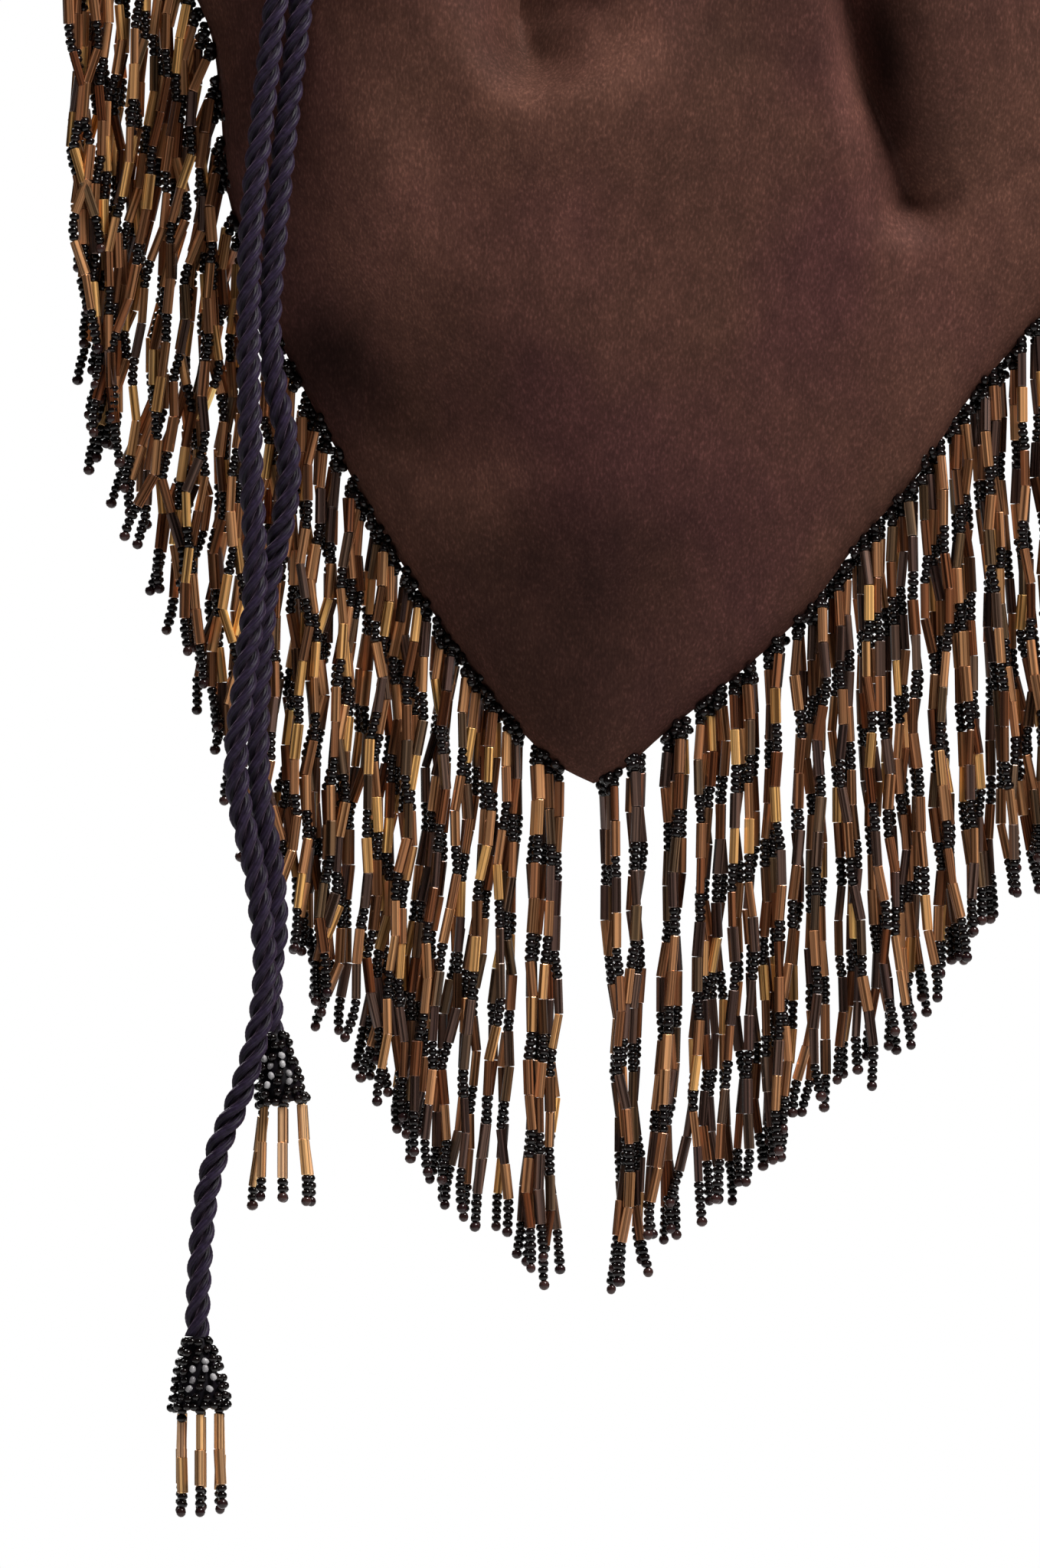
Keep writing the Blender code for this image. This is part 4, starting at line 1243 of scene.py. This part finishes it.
def shell(name, outer, side, thickness, material):
    """A closed sheet: the outer grid, an inner one a thickness inside it, and a rim all round."""
    rows, columns = outer.shape[:2]
    normal = np.cross(np.gradient(outer, axis=1), np.gradient(outer, axis=0)) * -side
    normal /= np.linalg.norm(normal, axis=2)[:, :, None]
    inner = outer - normal * thickness
    inner[:, :, 1] = side * np.maximum(side * inner[:, :, 1], FIT_GAP / 2)
    points = np.concatenate([outer.reshape(-1, 3), inner.reshape(-1, 3)])
    index = np.arange(2 * rows * columns).reshape(2, rows, columns)
    faces = []

    def quads(a, b, c, d):
        block = np.stack([a, b, c, d], axis=-1).reshape(-1, 4)
        faces.extend((block if side < 0 else block[:, ::-1]).tolist())

    out, back = index
    quads(out[:-1, :-1], out[:-1, 1:], out[1:, 1:], out[1:, :-1])
    quads(back[:-1, 1:], back[:-1, :-1], back[1:, :-1], back[1:, 1:])
    quads(out[0, 1:], out[0, :-1], back[0, :-1], back[0, 1:])
    quads(out[-1, :-1], out[-1, 1:], back[-1, 1:], back[-1, :-1])
    quads(out[:-1, 0], out[1:, 0], back[1:, 0], back[:-1, 0])
    quads(out[1:, -1], out[:-1, -1], back[:-1, -1], back[1:, -1])
    item = link_mesh(name, points, faces, [material])
    item.data.shade_smooth()
    item.data.set_sharp_from_angle(angle=SHARP_ANGLE)
    return item


def lining_grid(side):
    """The lining's outer surface: rows from above the hem up to the neck, columns across."""
    hem = hem_line(LINING_COLUMNS)
    normals = outward_normals(hem)
    picked = np.arange(LINING_SKIP, len(hem) - LINING_SKIP)
    low = hem[picked] - normals[picked] * LINING_INSET
    share = np.linspace(0, 1, len(picked))[None, :]
    ease = PLEAT_DEPTH + VELVET + 2 * FIT_GAP
    ring = neck_ring(share, np.full_like(share, -ease))
    rise = np.linspace(0, 1, LINING_ROWS + 1)[:, None]
    x = low[None, :, 0] * (1 - rise) + ring[..., 0] * rise
    z = low[None, :, 1] * (1 - rise) - NECK_BAND / 2 * rise + 0 * share
    depth = panel_depth(share, rise, LINING_BELLY, -ring[..., 1])
    gather = LINING_GATHER * np.cos(2 * np.pi * 3 * PLEATS * share) * smooth_step(rise)
    body = np.stack([x, FIT_GAP / 2 + LINING * (1 - rise) + depth - gather, z], axis=-1)
    level = np.full_like(share, NECK_BAND / 4)
    top = np.stack([ring[..., 0], FIT_GAP / 2 - ring[..., 1] + 0 * share, level], axis=-1)
    grid = np.concatenate([body, top])
    grid[..., 1] *= side
    return grid


def casing(name, first, last, node):
    """A gathered tunnel of velvet over the cord, between two shares of the whole ring round the neck."""
    turn = np.linspace(first, last, round((last - first) * CASING_COLUMNS))
    seat_out = PLEAT_DEPTH + 2 * FIT_GAP
    crown = seat_out + CORD + 2 * FIT_GAP
    height = np.linspace(-1, 1, CASING_ROWS)
    bulge = np.clip((1 - np.abs(height)) / CASING_SLOPE, 0, 1)
    outward = seat_out + TAPE + (crown - seat_out) * np.sin(bulge * np.pi / 2) ** CASING_CROWN
    gather = sum(high * np.cos(turn * math.tau * count + phase) for high, count, phase in CASING_GATHERS)
    points = []
    for level, out in zip(height, outward, strict=True):
        lift = gather * (1 - 0.5 * abs(level))
        back = turn % 1.0 > 0.5
        share = np.where(back, 2 - 2 * (turn % 1.0), 2 * (turn % 1.0))
        ring = neck_ring(share, out + lift)
        y = np.where(back, -ring[:, 1], ring[:, 1])
        z = np.full_like(turn, level * TAPE_HALF_HEIGHT) + gather * level * 0.6
        points.append(np.stack([ring[:, 0], y, z], axis=-1))
    seat(band_piece(name, np.array(points)), "velvet", node)


def band_piece(name, grid):
    """A strip of velvet tape whose outer side is the grid."""
    rows, columns = grid.shape[:2]
    faces = []
    for j in range(rows - 1):
        for i in range(columns - 1):
            a = j * columns + i
            faces.append((a, a + 1, a + columns + 1, a + columns))
    item = link_mesh(name, grid.reshape(-1, 3), faces, [VELVET_CLOTH])
    item.data.shade_smooth()
    wall = item.modifiers.new("wall", "SOLIDIFY")
    wall.thickness = TAPE
    wall.offset = -1
    return item


def cloth():
    across = shares_of(FRONT_COLUMNS, DENSE_COLUMNS)
    front_grid = panel_grid(-1, BELLY_FRONT, FRONT_FOLDS, across, FRONT_ROWS)
    back_grid = panel_grid(1, BELLY_BACK, BACK_FOLDS, shares_of(BACK_COLUMNS, 0), BACK_ROWS)
    front = shell("velvet_front", front_grid, -1, VELVET, VELVET_CLOTH)
    spots = np.array([vertex.co for vertex in front.data.vertices])
    # The front keeps its painted light and shade at its points
    painted_shading = front.data.attributes.new("painted_light_and_shade", "FLOAT", "POINT")
    painted_shading.data.foreach_set("value", painted_light_of(spots[:, 0], spots[:, 2]))
    back = shell("velvet_back", back_grid, 1, VELVET, VELVET_CLOTH)
    seat(front, "velvet", "front_panel")
    seat(back, "velvet", "back_panel")
    inner_front = shell("satin_front", lining_grid(-1), -1, LINING, SATIN)
    inner_back = shell("satin_back", lining_grid(1), 1, LINING, SATIN)
    seat(inner_front, "lining", "lining_front")
    seat(inner_back, "lining", "lining_back")
    casing("casing_front", GAP_END, 0.5, "casing_tape_front")
    casing("casing_back", 0.5, 1 + GAP_START, "casing_tape_back")


# Tassels
def square_to(axis):
    """Two directions square to an axis and to each other."""
    side = np.cross(axis, [0, 1, 0])
    side /= np.linalg.norm(side)
    return side, np.cross(axis, side)


def tassel(name, route, lean, splays, seed):
    """A netted cap of seeds round a plum core, and the strands below it, splayed out by a range."""
    rng = random.Random(seed)
    line = smooth_line(route)
    heading = line[-1] - line[-6]
    heading = heading / np.linalg.norm(heading)
    top = line[-1] + heading * 2 * FIT_GAP
    bottom = top + np.array([lean, 0, -CAP_LENGTH])
    axis = (bottom - top) / np.linalg.norm(bottom - top)
    side, front = square_to(axis)
    net = []
    for ring in range(CAP_RINGS):
        share = (ring + 0.25) / (CAP_RINGS - 0.5)
        radius = CAP_TOP + CAP_SPREAD * share**CAP_CURVE
        around = max(CAP_FEWEST, round(math.tau * radius / (SEED_WIDTH * CAP_PACKING)))
        for k in range(around):
            angle = math.tau * (k + 0.5 * (ring % 2) + rng.uniform(-CAP_SHIFT, CAP_SHIFT)) / around
            out = math.cos(angle) * side + math.sin(angle) * front
            bulge = CAP_BULGE * math.sin(2 * angle + seed) * share
            bulge += rng.uniform(-CAP_UNEVEN, CAP_PROUD)
            level = CAP_LENGTH * share + rng.uniform(-CAP_UNEVEN, CAP_UNEVEN)
            # Pale seeds in the rows that face the front are painted glints
            in_glint_row = any(abs(math.remainder(angle - row, math.tau)) < math.pi / around for row in GLINT_ROWS)
            kind = GLINT_SEED if in_glint_row and ring in GLINT_RINGS else SEED
            girth = GLINT_GIRTH if kind == GLINT_SEED else CAP_GIRTH
            turn = np.array([rng.uniform(-CAP_TURN, CAP_TURN) for _ in range(3)])
            spot = top + axis * level + out * (radius + bulge)
            net.append([(kind, spot, axis + CAP_FLARE * out + turn, rng.random(), rng.random(), girth)])
    cap = threads(f"{name}_net", net)
    seat(cap, "black_beads", f"{name}_cap")
    core = cap_core(f"{name}_core", top, axis, side, front)
    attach(core, BODY)
    chains = []
    for k in range(TASSEL_STRANDS):
        angle = math.tau * (k + 0.5) / TASSEL_STRANDS
        out = math.cos(angle) * side + math.sin(angle) * front
        head = bottom + out * TASSEL_RING + [0, 0, rng.uniform(0.0, TASSEL_RISE)]
        sway = wander(rng, TASSEL_SWAY, TASSEL_SWAY_LENGTHS)
        splay = rng.uniform(*splays)

        def strand(length, head=head, out=out, sway=sway, splay=splay):
            return head + out * (splay * length + sway(length)) + np.array([0, 0, -length])

        pattern = [SEED] * rng.choice((1, 2)) + [BUGLE] * 2 + [SEED] * rng.choice((2, 3)) + [END]
        chains.append(chain(rng, pattern, strand, 1))
    strands = threads(f"{name}_strands", chains)
    seat(strands, "bronze_beads", *[f"{name}_strand_{k + 1}" for k in range(TASSEL_STRANDS)])
    return [cap, core, strands]


def cap_core(name, top, axis, side, front):
    """The plum core that shows between the seeds of a cap."""
    points, faces = [], []
    for share, radius in CORE:
        for i in range(CORE_SIDES):
            angle = math.tau * i / CORE_SIDES
            ray = math.cos(angle) * side + math.sin(angle) * front
            points.append(top + axis * CAP_LENGTH * share + radius * ray)
    for low in range(0, (len(CORE) - 1) * CORE_SIDES, CORE_SIDES):
        high = low + CORE_SIDES
        for i in range(CORE_SIDES):
            j = (i + 1) % CORE_SIDES
            faces.append((low + i, low + j, high + j, high + i))
    faces.append(tuple(range(CORE_SIDES))[::-1])
    faces.append(tuple(len(points) - CORE_SIDES + i for i in range(CORE_SIDES)))
    item = link_mesh(name, points, faces, [ROPE])
    item.data.shade_smooth()
    return item


# The bag
lower = tassel("lower_tassel", LONG_CORD, *LOWER_TASSEL)
upper = tassel("upper_tassel", SHORT_CORD, *UPPER_TASSEL)
hang_cord("long_rope", "long_cord", LONG_CORD)
hang_cord("short_rope", "short_cord", SHORT_CORD)
frame["nodes"]["neck_drawstring"].material_slots[0].material = ROPE
cloth()
fringe()


# Floor, world and lamps
def floor():
    bpy.ops.mesh.primitive_circle_add(
        vertices=FLOOR_SIDES, radius=FLOOR_RADIUS, fill_type="NGON", location=(0, 0, FLOOR_LEVEL)
    )
    disc = bpy.context.object
    disc.name = "studio_floor"
    material, tree, shader = new_material("pale_floor")
    seen = tree.nodes.new("ShaderNodeLightPath").outputs["Is Camera Ray"]
    finish = {
        "Base Color": (0.90, 0.90, 0.90, 1),
        "Roughness": 0.8,
        "Emission Color": (1, 1, 1, 1),
        "Emission Strength": product(tree, seen, FLOOR_GLOW),
    }
    set_inputs(tree, shader, finish)
    disc.data.materials.append(material)


def world():
    """White to the camera; for gloss a grey wall behind and a dark room in front; dim for the rest."""
    space = bpy.data.worlds.new("studio")
    bpy.context.scene.world = space
    space.use_nodes = True
    tree = space.node_tree
    background = tree.nodes["Background"]
    rays = tree.nodes.new("ShaderNodeLightPath").outputs
    direction = tree.nodes.new("ShaderNodeTexCoord").outputs["Generated"]
    span = {"From Min": 0.3, "From Max": 1.0, "To Min": 0.015, "To Max": 0.16}
    mirror = add_node(tree, "ShaderNodeMapRange", {"Value": parts_of(tree, direction)["Y"], **span})
    shiny = maths(tree, "MAXIMUM", rays["Is Glossy Ray"], rays["Is Transmission Ray"])
    gloss = product(tree, shiny, mirror.outputs["Result"])
    plain = product(tree, maths(tree, "SUBTRACT", 1.0, shiny), ROOM_LIGHT)
    lit = maths(tree, "ADD", gloss, plain)
    seen = maths(tree, "MAXIMUM", rays["Is Camera Ray"], lit)
    set_inputs(tree, background, {"Color": (1, 1, 1, 1), "Strength": seen})


def lamp(name, place, target, size, power, colour=(1, 1, 1)):
    data = bpy.data.lights.new(name, "AREA")
    data.shape = "RECTANGLE"
    data.size, data.size_y = size
    data.energy = power
    data.color = colour
    item = bpy.data.objects.new(name, data)
    item.location = place
    item.rotation_euler = (Vector(target) - Vector(place)).to_track_quat("-Z", "Y").to_euler()
    bpy.context.collection.objects.link(item)


floor()
world()
lamp("key_softbox", (0.70, -0.68, 1.02), BAG_MIDDLE, (0.6, 0.6), 34, (1.0, 0.98, 0.96))
lamp("fill_softbox", (-1.3, -1.1, 0.05), BAG_MIDDLE, (0.8, 1.2), 0.3)
lamp("rim_softbox", (-0.6, 1.1, 0.8), BAG_MIDDLE, (0.8, 0.8), 24)
bpy.context.scene.view_settings.view_transform = "Standard"
